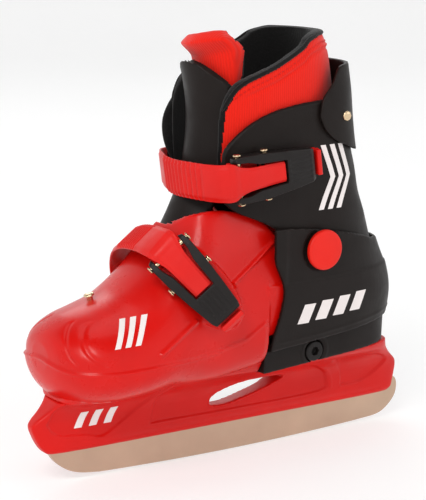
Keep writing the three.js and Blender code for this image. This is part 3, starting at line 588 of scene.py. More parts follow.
def to_local(place, points):
    origin, du, dv, dw = place
    away = points - origin
    return np.stack([away @ du, away @ dv, away @ dw], axis=1)


def pivot_bore(radius, y0, y1):
    return lathe("bore", [(radius, y0), (radius, y1)], across_at(PIVOT_X, PIVOT_Z))


def box(x0, x1, y0, y1, z0, z1):
    return side("box", [(x0, z0), (x1, z0), (x1, z1), (x0, z1)], y0, y1)


RAIL_TILT = math.atan(SOLE_SLOPE)
RAIL_HALF, RAIL_DEEP = 9.35, 5.4
STUD_BORE, COVER_BORE = 5.35, 12.2


def rail_box(x0, x1, half, z0, z1):
    c, s = math.cos(RAIL_TILT), math.sin(RAIL_TILT)
    corners = [(x0, z0), (x1, z0), (x1, z1), (x0, z1)]
    turned = [(BOLT_X + x * c - z * s, BOLT_Z + x * s + z * c) for x, z in corners]
    return side("rail", turned, -half, half)


def rail_channel():
    """The channel through the holder and the heel base, in which the size rail slides."""
    return rail_box(-56, 40, RAIL_HALF, -RAIL_DEEP, RAIL_DEEP)


# ---- runner and its holder -----------------------------------------------------------------
def make_blade():
    def rocker(x):
        return x * x / 4000 if abs(x) > 10 else 0
    front = curve_through([(-118.6, 23.6), (-117.9, 18.6), (-114.4, 12.6), (-107.5, 6.9),
                           (-99, 3.6), (-87, rocker(87))], 8)
    rear = curve_through([(87, rocker(87)), (103, 3.1), (110.5, 6.3), (116.2, 11.8),
                          (118.3, 17.6), (117.2, 23.6), (111, 27)], 8)
    edge = [(x, rocker(x)) for x in range(-81, 87, 6)]
    blade = side("runner", front + edge + rear + [(-112, 27)], -1.8, 1.8)
    bevel = blade.modifiers.new("edge", "BEVEL")
    bevel.width = 0.28 * MM
    bevel.segments = 3
    bevel.limit_method = "ANGLE"
    bevel.angle_limit = math.radians(50)
    bake(blade)
    return dress(blade, STEEL, "root", "blade_steel", "blade")


HOLDER = [
    # height, front end, rear end, half width
    [17.6, -119.5, 110, 6.4], [19.6, -121.5, 112.8, 7.3], [22.6, -123.8, 114.2, 6.3],
    [28, -126.6, 115.6, 6], [33.6, -128.2, 116.2, 6.6], [36.5, -126.4, 115.2, 7.6],
    [41, -120.6, 110.4, 10.5], [46, -115.2, 105, 16.5], [50, -112.6, 101, 22.5],
    [57, -110, 98, 27],
]
# side views of the opening in the holder and of its three sunk panels
WINDOW = [(-18, 30.4), (-16, 28.6), (-6, 28.2), (11, 31.6), (22, 34.8), (31, 39.6), (17, 41.2),
          (1, 40.2), (-11, 36.8), (-16.6, 33.6), (-18, 30.4)]
FRONT_PANEL = [(-121.5, 34.6), (-114.6, 27.2), (-98, 25), (-82, 24.4), (-51, 50), (-110, 47)]
MIDDLE_PANEL = [(-58, 24.6), (-46, 48), (30, 48), (57, 40), (63.5, 31), (60, 25.4), (30, 24.2)]
REAR_PANEL = [(72, 26), (71.5, 33), (66, 41), (58, 47), (92, 45), (106.5, 38.4), (98, 30.4),
              (86, 26)]


def make_holder():
    rings = [level_ring(z, front, 0, rear, half, 5.5, 160)
             for z, front, rear, half in rows_between(HOLDER, HOLDER[0][0], HOLDER[-1][0], 45)]
    holder = loft("blade_holder_body", rings)
    sole = [(-140, toe_sole(-140) - GAP), (BASE_FRONT - 0.6, toe_sole(BASE_FRONT) - GAP),
            (BASE_FRONT - 0.6, base_low(BASE_FRONT) - GAP), (130, base_low(130) - GAP), (130, 90),
            (-140, 90)]
    slot = [(-119.2, 10), (118.9, 10), (118.4, 24), (111.4, 27.35), (-112.4, 27.35), (-119.2, 24)]
    window = side("window", curve_through(WINDOW, 5)[:-1], -60, 60)
    cut(holder, window, side("sole", sole, -60, 60), side("slot", slot, -2.1, 2.1))
    cut(holder, rail_box(-129, -20, RAIL_HALF, -RAIL_DEEP, 12), rail_channel())
    mould(holder, 0.75, 3)
    points, normals = read(holder)
    flat = points[:, [0, 2]]
    outward = np.clip(normals[:, 1] * np.sign(points[:, 1]) * 3, 0, 1) * (abs(points[:, 1]) > 3.4)
    for outline in (FRONT_PANEL, MIDDLE_PANEL, REAR_PANEL):
        round_outline = curve_through(outline + outline[:1], 4)[:-1]
        points = panel(points, normals, flat, round_outline, 1.25, 1.6, outward)
    for radius in (14, 21):
        line = arc(52, 28, np.linspace(-0.1, 0.9, 12), radius)
        points = bead(points, normals, line, 0.7, 0.35, outward, flat)
    write(holder, points)
    return dress(holder, RED_HOLDER, "root", "red_plastic", "blade_holder")


def make_heel_base():
    rows = [[44, -40, 94.5, 26.5], [56, -40, 96.5, 27.6], [76, -40, 97, 28.6]]
    base = loft("heel_base_body", [level_ring(z, x0, 30, x1, half, 4, 96) for z, x0, x1, half in rows])
    outline = [(BASE_FRONT, base_low(BASE_FRONT)), (110, base_low(110)),
               (110, heel_sole(110) - GAP), (BASE_FRONT, heel_sole(BASE_FRONT) - GAP)]
    meet(base, side("outline", outline, -60, 60))
    cut(base, rail_channel())
    bore = [(6.4, -40), (6.4, -24.6), (3.35, -24.6), (3.35, 24.6), (6.4, 24.6), (6.4, 40)]
    cut(base, lathe("bore", bore, across_at(BOLT_X, BOLT_Z)))
    mould(base, 0.7, 2)
    points, normals = read(base)
    rim = arc(BOLT_X, BOLT_Z, np.linspace(0, math.tau, 25), 8.6)
    where = np.clip(abs(normals[:, 1]) * 2 - 1, 0, 1) * (abs(points[:, 1]) > 20)
    points = bead(points, normals, rim, 0.7, 0.35, where)
    write(base, points)
    return dress(base, BLACK, "root", "black_plastic", "heel_base")


def make_bolt():
    profile = [(2, -25.6), (2.3, -28.2), (4.9, -28.25), (5.5, -27.9), (5.85, -27.3), (5.9, -25.1),
               (3, -25), (3, 27.2), (2.6, 27.6)]
    bolt = lathe("cross_bolt_head", profile, across_at(BOLT_X, BOLT_Z))
    hexagon = arc(BOLT_X, BOLT_Z, np.linspace(0, math.tau, 7)[:-1], 2.7)
    cut(bolt, side("hexagon", hexagon, -40, -25.2))
    mould(bolt, 0.22, 2)
    return dress(bolt, BLACK_HARD, "root", "black_plastic", "cross_bolt")


# ---- shells --------------------------------------------------------------------------------
def make_heel_shell():
    front = curve_through([(5.2, heel_sole(5.2)), (5.6, 70), (8.4, 82), (10, 94), (9, 101),
                           (5.6, 108.6), (3.2, 114), (3, 121), (3, 132.6)])
    top = curve_through([(3, 132.6), (20, 131.4), (46, 127.4), (66, 122.6), (82, 118.2), (120, 117)])
    shell = boot_body(60, 138, 0, -120)
    meet(shell, side("outline", front + top[1:] + [(120, heel_sole(120))], -70, 70))
    room = boot_body(59, 140, SHELL, -120)
    meet(room, side("floor", above(heel_sole, SOLE_THICK), -70, 70))
    cut(shell, room, pivot_bore(STUD_BORE, -70, 70), pivot_bore(COVER_BORE, -60, -38.9),
        pivot_bore(COVER_BORE, 38.9, 60))
    mould(shell, 0.75, 3)
    points, normals = read(shell)
    x, y, z = points.T
    radial = unit(np.stack([x - BOOT_MIDDLE, y, 0 * z], axis=1))
    outer = np.clip((normals * radial).sum(1) * 3, 0, 1)
    # the shell is drawn in above a line at the ankle
    step = 0.75 * ease(z - 0.03 * (x - 8), 100.4, 101.8) * ease(x, 9, 13) * (1 - ease(x, 88, 99))
    lower = ease(z, 64, 70)
    points = points - normals * (step * outer)[:, None]
    foot = curve_through([(6, heel_sole(6) + 4.5), (40, heel_sole(40) + 4), (100, heel_sole(100) + 4.6)], 4)
    points = bead(points, normals, foot, 0.9, 0.3, outer * lower)
    write(shell, points)
    return dress(shell, BLACK, "root", "black_plastic", "heel_shell")


def make_cuff():
    low = curve_through([(-25.6, 160), (-25, 152), (-22.4, 146.6), (-16, 142), (-7, 138.2), (1, 134.4),
                         (10, 128), (16, 120), (20, 111), (26, 105), (34, 103.4), (44, 105), (56, 109),
                         (70, 113), (82, 116.4), (100, 117)])
    high = curve_through([(100, 199), (46, 200.6), (28.6, 200), (16, 198.6), (3.6, 196), (-8.6, 191),
                          (-18.4, 183.8), (-24.6, 176), (-25.6, 166), (-25.6, 160)])
    shell = boot_body(100, 204, TUCK, -48, cuff_inset)
    meet(shell, side("outline", low + high[:-1], -70, 70))
    cut(shell, boot_body(98, 206, TUCK + CUFF_WALL, -48, cuff_inset))
    cut(shell, pivot_bore(STUD_BORE, -70, 70), box(-60, -22.5, 0, 60, 100, 210))
    mould(shell, 0.75, 3)
    points, normals = read(shell)
    outer = facing_out(points, normals)
    points = bead(points, normals, high, 0.8, 0.35, outer, points[:, [0, 2]] + [0, 1.6])
    write(shell, points)
    return dress(shell, BLACK, "cuff", "black_plastic", "cuff_shell")


def make_spoiler():
    outline = curve_through([(31.8, 191.5), (35.5, 184), (43, 178), (54, 173.5), (66, 170), (90, 168)])
    outline += curve_through([(90, 219.4), (52.6, 218.8), (45.6, 216), (41, 209), (34, 201),
                              (31.8, 191.5)])[:-1]
    spoiler = boot_body(164, 222, -1.5, -60)
    meet(spoiler, side("outline", outline, -70, 70))
    cut(spoiler, boot_body(162, 224, 0.85, -60))
    mould(spoiler, 0.7, 4)
    return dress(spoiler, BLACK, "cuff", "black_plastic", "rear_spoiler")


# side view of the front edge of the toe shell's opening
THROAT_EDGE = [(-52, 127), (-48.5, 132), (-44, 137.6), (-39, 142), (-29, 144), (-15, 142), (0, 136),
               (9, 127), (13, 116), (13, 97)]
# lower edge of the opening on the inner side
INNER_SIDE = [(-56, 127), (-46, 127.4), (-30, 128), (-8, 126.5), (12, 121), (40, 121)]
# side view of the crease along the flank
RIDGE = [(-72, 74.5), (-60, 82), (-49.3, 88.5), (-25.7, 103.4), (-10, 113), (6, 124)]
# grooves beside the nose in the front view: distance from the middle and height
GROOVES = [
    [(10.6, 89.9), (17.1, 83.7), (22.8, 77.2), (28, 72.1)],
    [(18, 90.1), (24.2, 84.3), (30.4, 77.8), (36.8, 71.7)],
]


# middle and half sizes of the oval seat for the lower buckle, in the buckle's frame
SEAT_U, SEAT_LONG, SEAT_WIDE = 23, 30, 14


def toe_solid():
    """The toe shell with sharp edges: hollow, open above, with its wings and the buckle's seat."""
    shell = join(toe_body(0), flare_body())
    meet(shell, side("bottom", above(toe_sole), -60, 60))
    room = toe_body(SHELL, -117.6)
    meet(room, side("floor", above(toe_sole, SOLE_THICK), -60, 60))
    throat = [(-52, 260)] + curve_through(THROAT_EDGE) + [(40, 97), (40, 260)]
    inner_side = curve_through(INNER_SIDE, 4) + [(40, 260), (-56, 260)]
    cut(shell, room, side("throat", throat, -60, 60), side("inner_side", inner_side, 12, 60),
        box(2.4, 60, -60, 60, 40, 97.5))
    slope = [(2, 139), (13, 127), (40, 127), (40, 200), (2, 200)]
    cut(shell, plate("slope", slope, -56, -30, lambda y, z, x: (x, y, z)))
    wing = boot_body(60, 104, SHELL + 0.8, -120, steps=16)
    cut(wing, boot_body(59.5, 104.5, SHELL + 3.1, -120, steps=16))
    meet(wing, side("wing", [(1.2, 71), (1.2, 100), (12, 100), (20, 98.2), (28, 94), (28, 73.2)], -60, 60))
    oval = arc(SEAT_U, 0, np.linspace(0, math.tau, 49)[:-1], SEAT_LONG, SEAT_WIDE)
    seat = plate("seat", oval, -26, -7, lambda u, v, w: at(LOWER, u, v, w))
    cut(seat, toe_body(SHELL - 0.6, -117.6), box(-90, 10, -10, 60, 40, 160))
    return join(shell, wing, seat)


def make_toe_shell():
    shell = mould(toe_solid(), 0.75, 4)
    points, normals = read(shell)
    x, y, z = points.T
    middle = np.interp(x, [r[0] for r in TOE], [r[2] for r in TOE])
    radial = unit(np.stack([np.where(x < -100, (x + 100) / 2, 0), y, z - middle], axis=1))
    outer = np.clip((normals * radial).sum(1) * 3 - 0.3, 0, 1)
    # below the welt the shell stands out all around, with a lip along the edge
    rise = 4 * (1 - ease(abs(y), 0, 34)) * ease(-x, 80, 112)
    welt = np.interp(x, [-121, -96, -74, -38, -15, 4], [67.6, 67.7, 69, 70.2, 73.8, 84]) + rise
    below = 1 - ease(z - welt, -0.9, 0.5)
    lip = np.exp(-((z - welt + 0.6) / 0.8) ** 2)
    raised = (0.9 * below + 0.6 * lip) * outer * (1 - ease(x, -2, 3))
    points = points + normals * raised[:, None]
    u, v, w = to_local(LOWER, points).T
    on_seat = (((u - SEAT_U) / (SEAT_LONG + 1)) ** 2 + (v / (SEAT_WIDE + 1)) ** 2 < 1) & (w > -12)
    flank = outer * ease(abs(points[:, 1]), 20, 26) * ~on_seat
    points = bead(points, normals, curve_through(RIDGE, 5), 1.1, 1.5, flank)
    front_view = np.stack([abs(points[:, 1]), points[:, 2]], axis=1)
    nose = outer * ease(-points[:, 0], 96, 100)
    for groove in GROOVES:
        points = bead(points, normals, curve_through(groove, 6), 0.75, -0.55, nose, front_view)
    write(shell, points)
    return dress(shell, RED, "toe", "red_plastic", "toe_shell")


def make_disc(sign, label):
    profile = [(0.2, 40), (10.6, 40), (11.2, 40.4), (11.3, 41.6), (11.1, 42.4), (10.6, 42.9),
               (9.6, 43.2), (6, 43.35), (0.2, 43.4)]
    disc = lathe(f"pivot_disc_{label}", profile, across_at(PIVOT_X, PIVOT_Z, sign), 96)
    mould(disc, 0.3, 2)
    return dress(disc, RED_DISC, "root", "red_plastic", f"pivot_cover_{label}")


# ---- tongue --------------------------------------------------------------------------------
# x, height, half width and bow of the tongue's outer face along its length
TONGUE = [
    [-70, 97.6, 21, 3.8], [-62, 105.2, 21.6, 6], [-54.5, 113.6, 21.2, 7.8], [-47.5, 125, 20.4, 9],
    [-38, 143, 18.2, 9.6], [-31.5, 158, 18.6, 10], [-27.6, 174, 20.2, 10.6], [-26, 192, 21, 11],
    [-27.4, 208, 21.6, 11.2], [-30.5, 223, 21.4, 11],
]
TONGUE_RUN = [[i / 10, *row] for i, row in enumerate(curve_through(TONGUE, 10))]


def tongue_body(first, last, inner, outer, trim=0.0, arch=0.0, lip=0.0, steps=70):
    """The bowed plate of the tongue: arch lowers its top corners, lip thickens its edges."""
    across = np.linspace(-1, 1, 31)
    stations = [row[0] for row in TONGUE_RUN]
    columns = [[row[k] for row in TONGUE_RUN] for k in (1, 2, 3, 4)]

    def ring(share):
        outside, inside = [], []
        for t in across:
            end = last - arch * t * t
            s = first + (end - first) * share
            x, z, half, bow = (np.interp(s, stations, column) for column in columns)
            back = [np.interp(s - 0.2, stations, column) for column in columns[:2]]
            ahead = [np.interp(s + 0.2, stations, column) for column in columns[:2]]
            along = np.subtract(ahead, back)
            along /= np.linalg.norm(along)
            to_edge = min((1 - abs(t)) * half, (1 - share) * (end - first) * 17)
            proud = lip * math.exp(-(to_edge / 1.6) ** 2)
            for line, h in ((outside, outer + proud), (inside, inner)):
                h -= bow * t * t
                line.append((x - along[1] * h, t * (half - trim), z + along[0] * h))
        return outside + inside[::-1]
    return loft("tongue", [ring(k / steps) for k in range(steps + 1)])


def make_tongue():
    tongue = tongue_body(0, 9, -3.6, 0, arch=1.05, lip=0.4)
    mould(tongue, 0.7, 7)
    dress(tongue, BLACK, None, "black_plastic", "tongue_lower", "tongue_upper")
    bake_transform(tongue)


# ---- inner boot ----------------------------------------------------------------------------
# x, widest height, top, half width
LINER = [
    [-113, 70, 79, 13], [-110, 69, 82.5, 21], [-101, 69, 87.5, 29], [-88, 70, 91, 34],
    [-72, 72, 95.5, 35], [-60, 75, 104, 34.5], [-48, 79, 119, 33], [-32, 84, 142, 31],
    [-14, 88, 160, 28.4], [6, 90, 166, 27.4], [40, 90, 168, 27.8], [66, 90, 166, 26],
    [82, 90, 160, 19], [88, 90, 150, 11],
]
# height, front, middle, rear, half width
COLLAR = [
    [108, -34, 26, 80, 27], [122, -38, 26, 80.5, 27.2], [140, -38, 24, 74.5, 26.2],
    [156, -36, 22, 68, 29.2], [176, -36, 20, 62, 32], [200, -36, 18, 59, 33.4],
    [214, -36, 17, 57, 33.4], [228, -35, 16, 54.5, 32], [237, -33, 15, 51, 29.5],
]
# side view of the collar's front and top edge
RIM = [(-24.6, 176), (-23, 198), (-17, 209.4), (-10, 214), (8, 221), (26, 230), (30, 233.6),
       (40, 236.4), (62, 236), (90, 233)]
FOOT_WALL, COLLAR_WALL = 5, 6


def rim_height(x):
    return np.interp(x, *zip(*RIM))


def footbed_top(x):
    return 68.5 + 0.11 * x


def foot_body(inset, x0, x1):
    rings = []
    for x, middle, top, half in rows_between(LINER, x0, x1, 57):
        low = footbed_top(x) + GAP + inset * 0.6
        rings.append(cross_ring(x, low, middle, top - inset, half - inset, 3, 2.5, 64))
    return loft("foot", rings)


def collar_body(inset, z0, z1):
    rings = []
    for z, front, middle, rear, half in rows_between(COLLAR, z0, z1, 41):
        rings.append(level_ring(z, front + inset, middle, rear - inset, half - inset, 2.5))
    return loft("collar", rings)


def paint(obj, first, second, chosen):
    """Gives the chosen faces the second material; chosen is a rule on face centres and normals."""
    mesh = obj.data
    mesh.materials.clear()
    mesh.materials.append(first)
    mesh.materials.append(second)
    n = len(mesh.polygons)
    centers, normals = np.empty(n * 3), np.empty(n * 3)
    mesh.polygons.foreach_get("center", centers)
    mesh.polygons.foreach_get("normal", normals)
    pick = chosen(centers.reshape(-1, 3) / MM, normals.reshape(-1, 3))
    mesh.polygons.foreach_set("material_index", pick.astype(np.int32))
    mesh.update()


def make_liner():
    ankle = [(-50, 140), (-28, 132), (0, 122), (20, 118), (48, 118), (100, 116)]
    foot = foot_body(0, -113, 88)
    meet(foot, side("ankle", ankle + [(100, 50), (-130, 50), (-130, 140)], -60, 60))
    room = foot_body(FOOT_WALL, -107, 83.5)
    floor = [(-130, footbed_top(-130) + 3.35), (110, footbed_top(110) + 3.35), (110, 220), (-130, 220)]
    meet(room, side("floor", floor, -60, 60))
    cut(foot, room, tongue_body(0, 5.4, -6.4, 60, -1.5, steps=30))
    low = curve_through([(-24.6, 176), (-24, 157), (-20, 151), (-6, 142), (8, 129.6), (20, 117.4),
                         (34, 112.6), (50, 113), (90, 112)], 5)
    collar = collar_body(0, 110, 238)
    meet(collar, side("line", low + curve_through(RIM[::-1], 5)[:-1], -60, 60))
    cut(collar, collar_body(COLLAR_WALL, 106, 240))
    cut(collar, tongue_body(3, 9, -6, 60, -1.5, steps=40), box(-60, -8, -24, 24, 210, 240))
    join(foot, collar)
    mould(foot, 0.95, 7)
    points, normals = read(foot)
    lift = points[:, 2] - rim_height(points[:, 0])
    seam = 0.7 * np.exp(-((lift + 7.5) / 0.7) ** 2) - 0.6 * np.exp(-((lift + 9.4) / 0.9) ** 2)
    shaft = ease(points[:, 0], -16, -6) * facing_out(points, normals)
    write(foot, points + normals * (seam * shaft)[:, None])
    dress(foot, KNIT_COLLAR, None, "red_fabric", "liner_foot", "liner_collar")

    def dark(centers, facing):
        x, y, z = centers.T
        middle = np.interp(z, [100, 170, 236], [30, 20, 15])
        inward = (facing[:, :2] * unit(np.stack([x - middle, y], axis=1))).sum(1) < 0.12
        from_edge = line_distance(centers[:, [0, 2]], [(-24.6, 150)] + RIM)
        low_top = (facing[:, 2] > 0.45) & (z < 150)
        inner_front = (y > 0) & (x < -12)
        return (inward | low_top | inner_front | (from_edge < 2)) & (z > 74)
    paint(foot, KNIT_COLLAR, LINING, dark)
    foot.name = "inner_boot"
    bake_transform(foot)


def frames_along(path):
    """The points of a path with two directions across it at each, which don't twist along it."""
    path = np.array(path, float)
    tangent = tangents(path)
    up = np.cross(tangent[0], [0.3, 0.2, 0.9])
    up /= np.linalg.norm(up)
    ups = []
    for t in tangent:
        up = up - t * (up @ t)
        up /= np.linalg.norm(up)
        ups.append(up.copy())
    ups = np.array(ups)
    return path, ups, np.cross(tangent, ups)


def round_ring(p, r, up, across, count):
    return [p + r * (math.cos(a) * up + math.sin(a) * across) for a in np.arange(count) / count * math.tau]


def tube(name, path, radius):
    path, ups, across = frames_along(path)
    rings = []
    for i, p in enumerate(path):
        r = radius * min(1, 0.35 + 0.4 * min(i, len(path) - 1 - i))
        rings.append(round_ring(p, r, ups[i], across[i], 12))
    return smooth_sides(loft(name, rings))


def rim_path(inset, drop, reach=2.36):
    """A line around the collar's top edge, from the front on one side to the front on the other."""
    path = []
    for angle in np.linspace(-reach, reach, 150):
        low, high = 150, 237
        for _ in range(22):
            z = (low + high) / 2
            _, front, middle, rear, half = smooth_row(COLLAR, z)
            c = math.cos(angle)
            length = rear - inset - middle if c > 0 else middle - front - inset
            x = middle + length * power(c, 2.5)
            if rim_height(x) - drop > z:
                low = z
            else:
                high = z
        path.append((x, (half - inset) * power(math.sin(angle), 2.5), z))
    path = np.array(path)
    for _ in range(6):
        path[1:-1] = 0.25 * path[:-2] + 0.5 * path[1:-1] + 0.25 * path[2:]
    return path


def stitches(name, path, radius, length, gap):
    """Short raised threads along a line, joined into one piece."""
    sides = 8
    path = np.array(path, float)
    away = lengths_along(path)
    points, faces = [], []
    start = gap
    while start + length < away[-1] - gap:
        at_lengths = start + length * np.linspace(0, 1, 6)
        middle = np.stack([np.interp(at_lengths, away, path[:, k]) for k in range(3)], axis=1)
        _, ups, across = frames_along(middle)
        base = len(points)
        for i, p in enumerate(middle):
            r = radius * (0.35 + 0.65 * math.sin(math.pi * i / 5))
            points += round_ring(p, r, ups[i], across[i], sides)
        faces += walls(sides, 5, base)
        faces += [tuple(range(base, base + sides)), tuple(range(base + 5 * sides, base + 6 * sides))]
        start += length + gap
    return new_object(name, points, faces)


def make_flap():
    """Front edge of the inner boot on the inner side, which bulges out past the tongue."""
    front = curve_through([(-14, 156), (-20, 162), (-25.4, 171), (-27.8, 181), (-26.8, 190), (-21.6, 199),
                           (-14, 206)], 6)
    rings = []
    for share in np.linspace(0, 1, 9):
        y = 26.8 + 5.4 * share
        pinch = 1 - 0.16 * (2 * share - 1) ** 2 - 0.1 * share
        rings.append([(-12 + (x + 12) * pinch, y - 0.0035 * (z - 181) ** 2, z)
                      for x, z in front] + [(-11, y, 206), (-10, y, 156)])
    flap = loft("inner_boot_flap", rings)
    mould(flap, 0.6, 4)
    dress(flap, LINING, "cuff", "red_fabric")


# x, height, half width, bow, thickness and front offset of the padded tongue top
PAD = [
    [-25.4, 196, 18, 8.4, 8, 6.2], [-26.8, 210, 19, 8.8, 10, 6.2], [-29.2, 224, 20.4, 9.6, 11.5, 6.8],
    [-30.6, 231, 21, 9.8, 11, 0.8], [-29, 236.4, 19.4, 9, 6, 2.8],
]


def puff(obj, cap):
    """Fills a stuffed piece with a short cloth simulation; no point moves further than the cap."""
    frames = 14
    before, _ = read(obj)
    cloth = obj.modifiers.new("fill", "CLOTH")
    cloth.settings.use_pressure = True
    cloth.settings.uniform_pressure_force = 4
    cloth.settings.effector_weights.gravity = 0
    cloth.settings.quality = 4
    cloth.point_cache.frame_end = frames
    for number in range(1, frames + 1):
        scene.frame_set(number)
    bake(obj)
    scene.frame_set(1)
    after, _ = read(obj)
    away = after - before
    length = np.linalg.norm(away, axis=1)[:, None] + 1e-9
    write(obj, before + away * np.minimum(1, cap / length))


def make_pad():
    rings = []
    for s in np.linspace(0.02, 3.98, 40):
        x, z, half, bow, thick, front = (np.interp(s, range(5), [r[k] for r in PAD]) for k in range(6))
        narrow = 1 - 0.22 * ease(z, 229, 237) ** 2
        tilt = 5 * ease(z, 205, 232)
        droop = 2.2 * ease(z, 226, 236)
        ring = []
        for depth, reach, across in ((0.6, half, 1), (thick - 0.8, half - 3, -1)):
            ring += [(x + front + depth + bow * t * t, t * reach * narrow,
                      z - tilt * min(t, 0) - droop * t * t) for t in across * np.linspace(-1, 1, 25)]
        rings.append(ring)
    pad = loft("tongue_padding", rings)
    mould(pad, 1.1, 8)
    puff(pad, 0.7)
    dress(pad, KNIT_RED, "cuff", "red_fabric", "tongue_pad")
    paint(pad, KNIT_RED, LINING, lambda centers, facing: facing[:, 0] > 0.42)


# ---- straps --------------------------------------------------------------------------------
STRAP_THICK = 2.2
# place along the buckle, height and width of a strap's narrow end
NECK = [[26.3, 1.2, 11], [18, 1.4, 11.6], [9, 2.5, 12.2], [4, 2.6, 13.2], [-1, 2.6, 16]]
# middle lines of the straps from the buckle over the foot to the far rivet
UPPER_PATH = [
    [-26.8, -41.6, 161.2], [-31.6, -37.6, 160.8], [-35, -29, 160.6], [-37.6, -17, 160.6],
    [-37.6, -5, 160.2], [-36, 6, 160.4], [-32.2, 16, 160.6], [-28.4, 25, 160.6], [-23.4, 32.4, 160.2],
    [-17, 35.4, 160], [-8, 37.3, 160],
]
LOWER_PATH = [
    [-62.8, -29, 129.2], [-62.8, -21, 129.8], [-61.2, -12, 129.4], [-59.6, -3, 128.5], [-57.8, 7, 127],
    [-55.8, 17, 124.4], [-52.6, 28.2, 119.4], [-49, 36.2, 111.4], [-45.8, 40.6, 103.6], [-43, 42.6, 96.6],
]


def make_strap(name, node, place, path, far, width, ribs, pitch, body):
    """A strap along its path, with cross ribs between two stations of the path; its width runs
    along the far direction at the rivet and across the buckle at the other end."""
    points = [at(place, u, 0, w) for u, w, _ in NECK] + [np.array(p, float) for p in path]
    near, far = place[2], np.array(far) / np.linalg.norm(far)
    rows = []
    for i, p in enumerate(points):
        t = points[min(i + 1, len(points) - 1)] - points[max(i - 1, 0)]
        t /= np.linalg.norm(t)
        share = max(i - len(NECK), 0) / (len(points) - len(NECK) - 1)
        lean = near * (1 - share) + far * share
        out = np.cross(lean / np.linalg.norm(lean), t)
        flat = np.cross(t, out / np.linalg.norm(out))
        rows.append([*p, *flat, NECK[i][2] if i < len(NECK) else width])
    dense = np.array(curve_through(rows, 60))
    station = np.arange(len(dense)) / 60 - len(NECK)
    away = lengths_along(dense[:, :3])
    steps = np.arange(0, away[-1] + 0.001, 0.34)
    run = np.stack([np.interp(steps, away, dense[:, k]) for k in range(7)], axis=1)
    where = np.interp(steps, away, station)
    tangent = tangents(run[:, :3])
    rings = []
    for i, row in enumerate(run):
        flat = row[3:6] / np.linalg.norm(row[3:6])
        out = np.cross(flat, tangent[i])
        to_end = away[-1] - steps[i]
        round_end = math.sqrt(max(1 - max(1 - to_end / (width * 0.42), 0) ** 2, 0.02))
        half = row[6] / 2 * round_end
        in_ribs = float(ease(where[i], ribs[0], ribs[0] + 0.15)
                        * (1 - ease(where[i], ribs[1], ribs[1] + 0.2)))
        tooth = 0.5 + 0.5 * math.cos(steps[i] / pitch * math.tau)
        block = float(ease(where[i], 0.1, 0.35) * (1 - ease(where[i], ribs[0] - 0.05, ribs[0] + 0.05)))
        thick = STRAP_THICK - 0.2 + 0.35 * block + (0.95 * tooth**0.7 - 0.35) * in_ribs
        ring = []
        for a in (np.arange(36) + 0.5) / 36 * math.tau:
            s = half * power(math.cos(a), 7)
            rise = 0.5 + 0.5 * power(math.sin(a), 5)
            inner = 0.75 if abs(s) > 0.84 * half else 1
            ring.append(row[:3] + s * flat + (0.1 + thick * rise * (1 if rise < 0.5 else inner)) * out)
        rings.append(ring)
    return dress(smooth_sides(loft(name, rings)), RED_STRAP, body, "strap_red", node)


# ---- buckles and small hardware ------------------------------------------------------------
def cad_copy(node, name):
    obj = show(name, nodes[node].data.copy())
    work = bmesh.new()
    work.from_mesh(obj.data)
    bmesh.ops.remove_doubles(work, verts=work.verts, dist=1e-6)
    work.to_mesh(obj.data)
    work.free()
    return obj


def make_lever(which, place):
    lever = cad_copy(f"{which}_lever", f"{which}_lever_moulded")
    mould(lever, 0.42, 3)
    points, normals = read(lever)
    local = to_local(place, points)
    top = np.clip(normals @ place[3] * 2 - 0.6, 0, 1) * (local[:, 2] > 0)
    tail = ease(local[:, 0], 28.5, 30) * (1 - ease(local[:, 0], 41.5, 43.5))
    depth = np.zeros(len(points))
    for v in (-5.6, -2.8, 0, 2.8, 5.6):
        depth = np.maximum(depth, np.exp(-((local[:, 1] - v) / 0.62) ** 2))
    write(lever, points - normals * (0.6 * depth * tail * top)[:, None])
    return dress(lever, BLACK_HARD, f"{which}_lever_body", "black_plastic", f"{which}_lever")


def make_hardware():
    for which, body in (("upper", "cuff"), ("lower", "toe")):
        base = cad_copy(f"{which}_buckle_base", f"{which}_buckle_base_moulded")
        mould(base, 0.45, 3)
        dress(base, RED_STRAP, body, "strap_red", f"{which}_buckle_base")
    bodies = {}
    for body, members in frame["record"]["behaviour"]["bodies"].items():
        bodies.update((node, body) for node in members)
    for node, obj in nodes.items():
        small = any(word in node for word in ("pin_", "rivet", "screw", "stud"))
        if small or node == "cross_bolt_nut":
            finished = cad_copy(node, f"{node}_finished")
            mould(finished, 0.2, 6)
            slot = "rivet_metal" if small else "black_plastic"
            dress(finished, PLATED if small else BLACK_HARD, bodies[node], slot, node)
        elif node in ("footbed", "size_rail"):
            obj.data.materials.clear()
            obj.data.materials.append(BOARD if node == "footbed" else STEEL)


# ---- printed marks -------------------------------------------------------------------------
def mark(name, target, outline, spot, direction, body, slot):
    """A thin print: an outline laid on a surface along a direction; spot turns (a, b) into a point."""
    outline = [np.array(p, float) for p in outline]
    work = bmesh.new()
    work.faces.new([work.verts.new((*p, 0)) for p in outline])
    low, high = np.min(outline, axis=0), np.max(outline, axis=0)
    for axis, normal in enumerate((Vector((1, 0, 0)), Vector((0, 1, 0)))):
        for value in np.arange(low[axis] + 1, high[axis], 1.0):
            everything = work.verts[:] + work.edges[:] + work.faces[:]
            bmesh.ops.bisect_plane(work, geom=everything, plane_co=normal * value, plane_no=normal)
    tree = BVHTree.FromObject(target, bpy.context.evaluated_depsgraph_get())
    direction = Vector(direction).normalized()
    for vert in work.verts:
        start = Vector(spot(vert.co.x, vert.co.y)) * MM - direction * 0.08
        hit, _, _, _ = tree.ray_cast(start, direction)
        vert.co = (hit if hit else start + direction * 0.08) - direction * 0.00016
    mesh = bpy.data.meshes.new(name)
    work.to_mesh(mesh)
    work.free()
    obj = show(name, mesh)
    thick = obj.modifiers.new("thick", "SOLIDIFY")
    thick.thickness = 0.14 * MM
    thick.offset = 0
    bake(obj)
    return dress(obj, INK, body, slot)


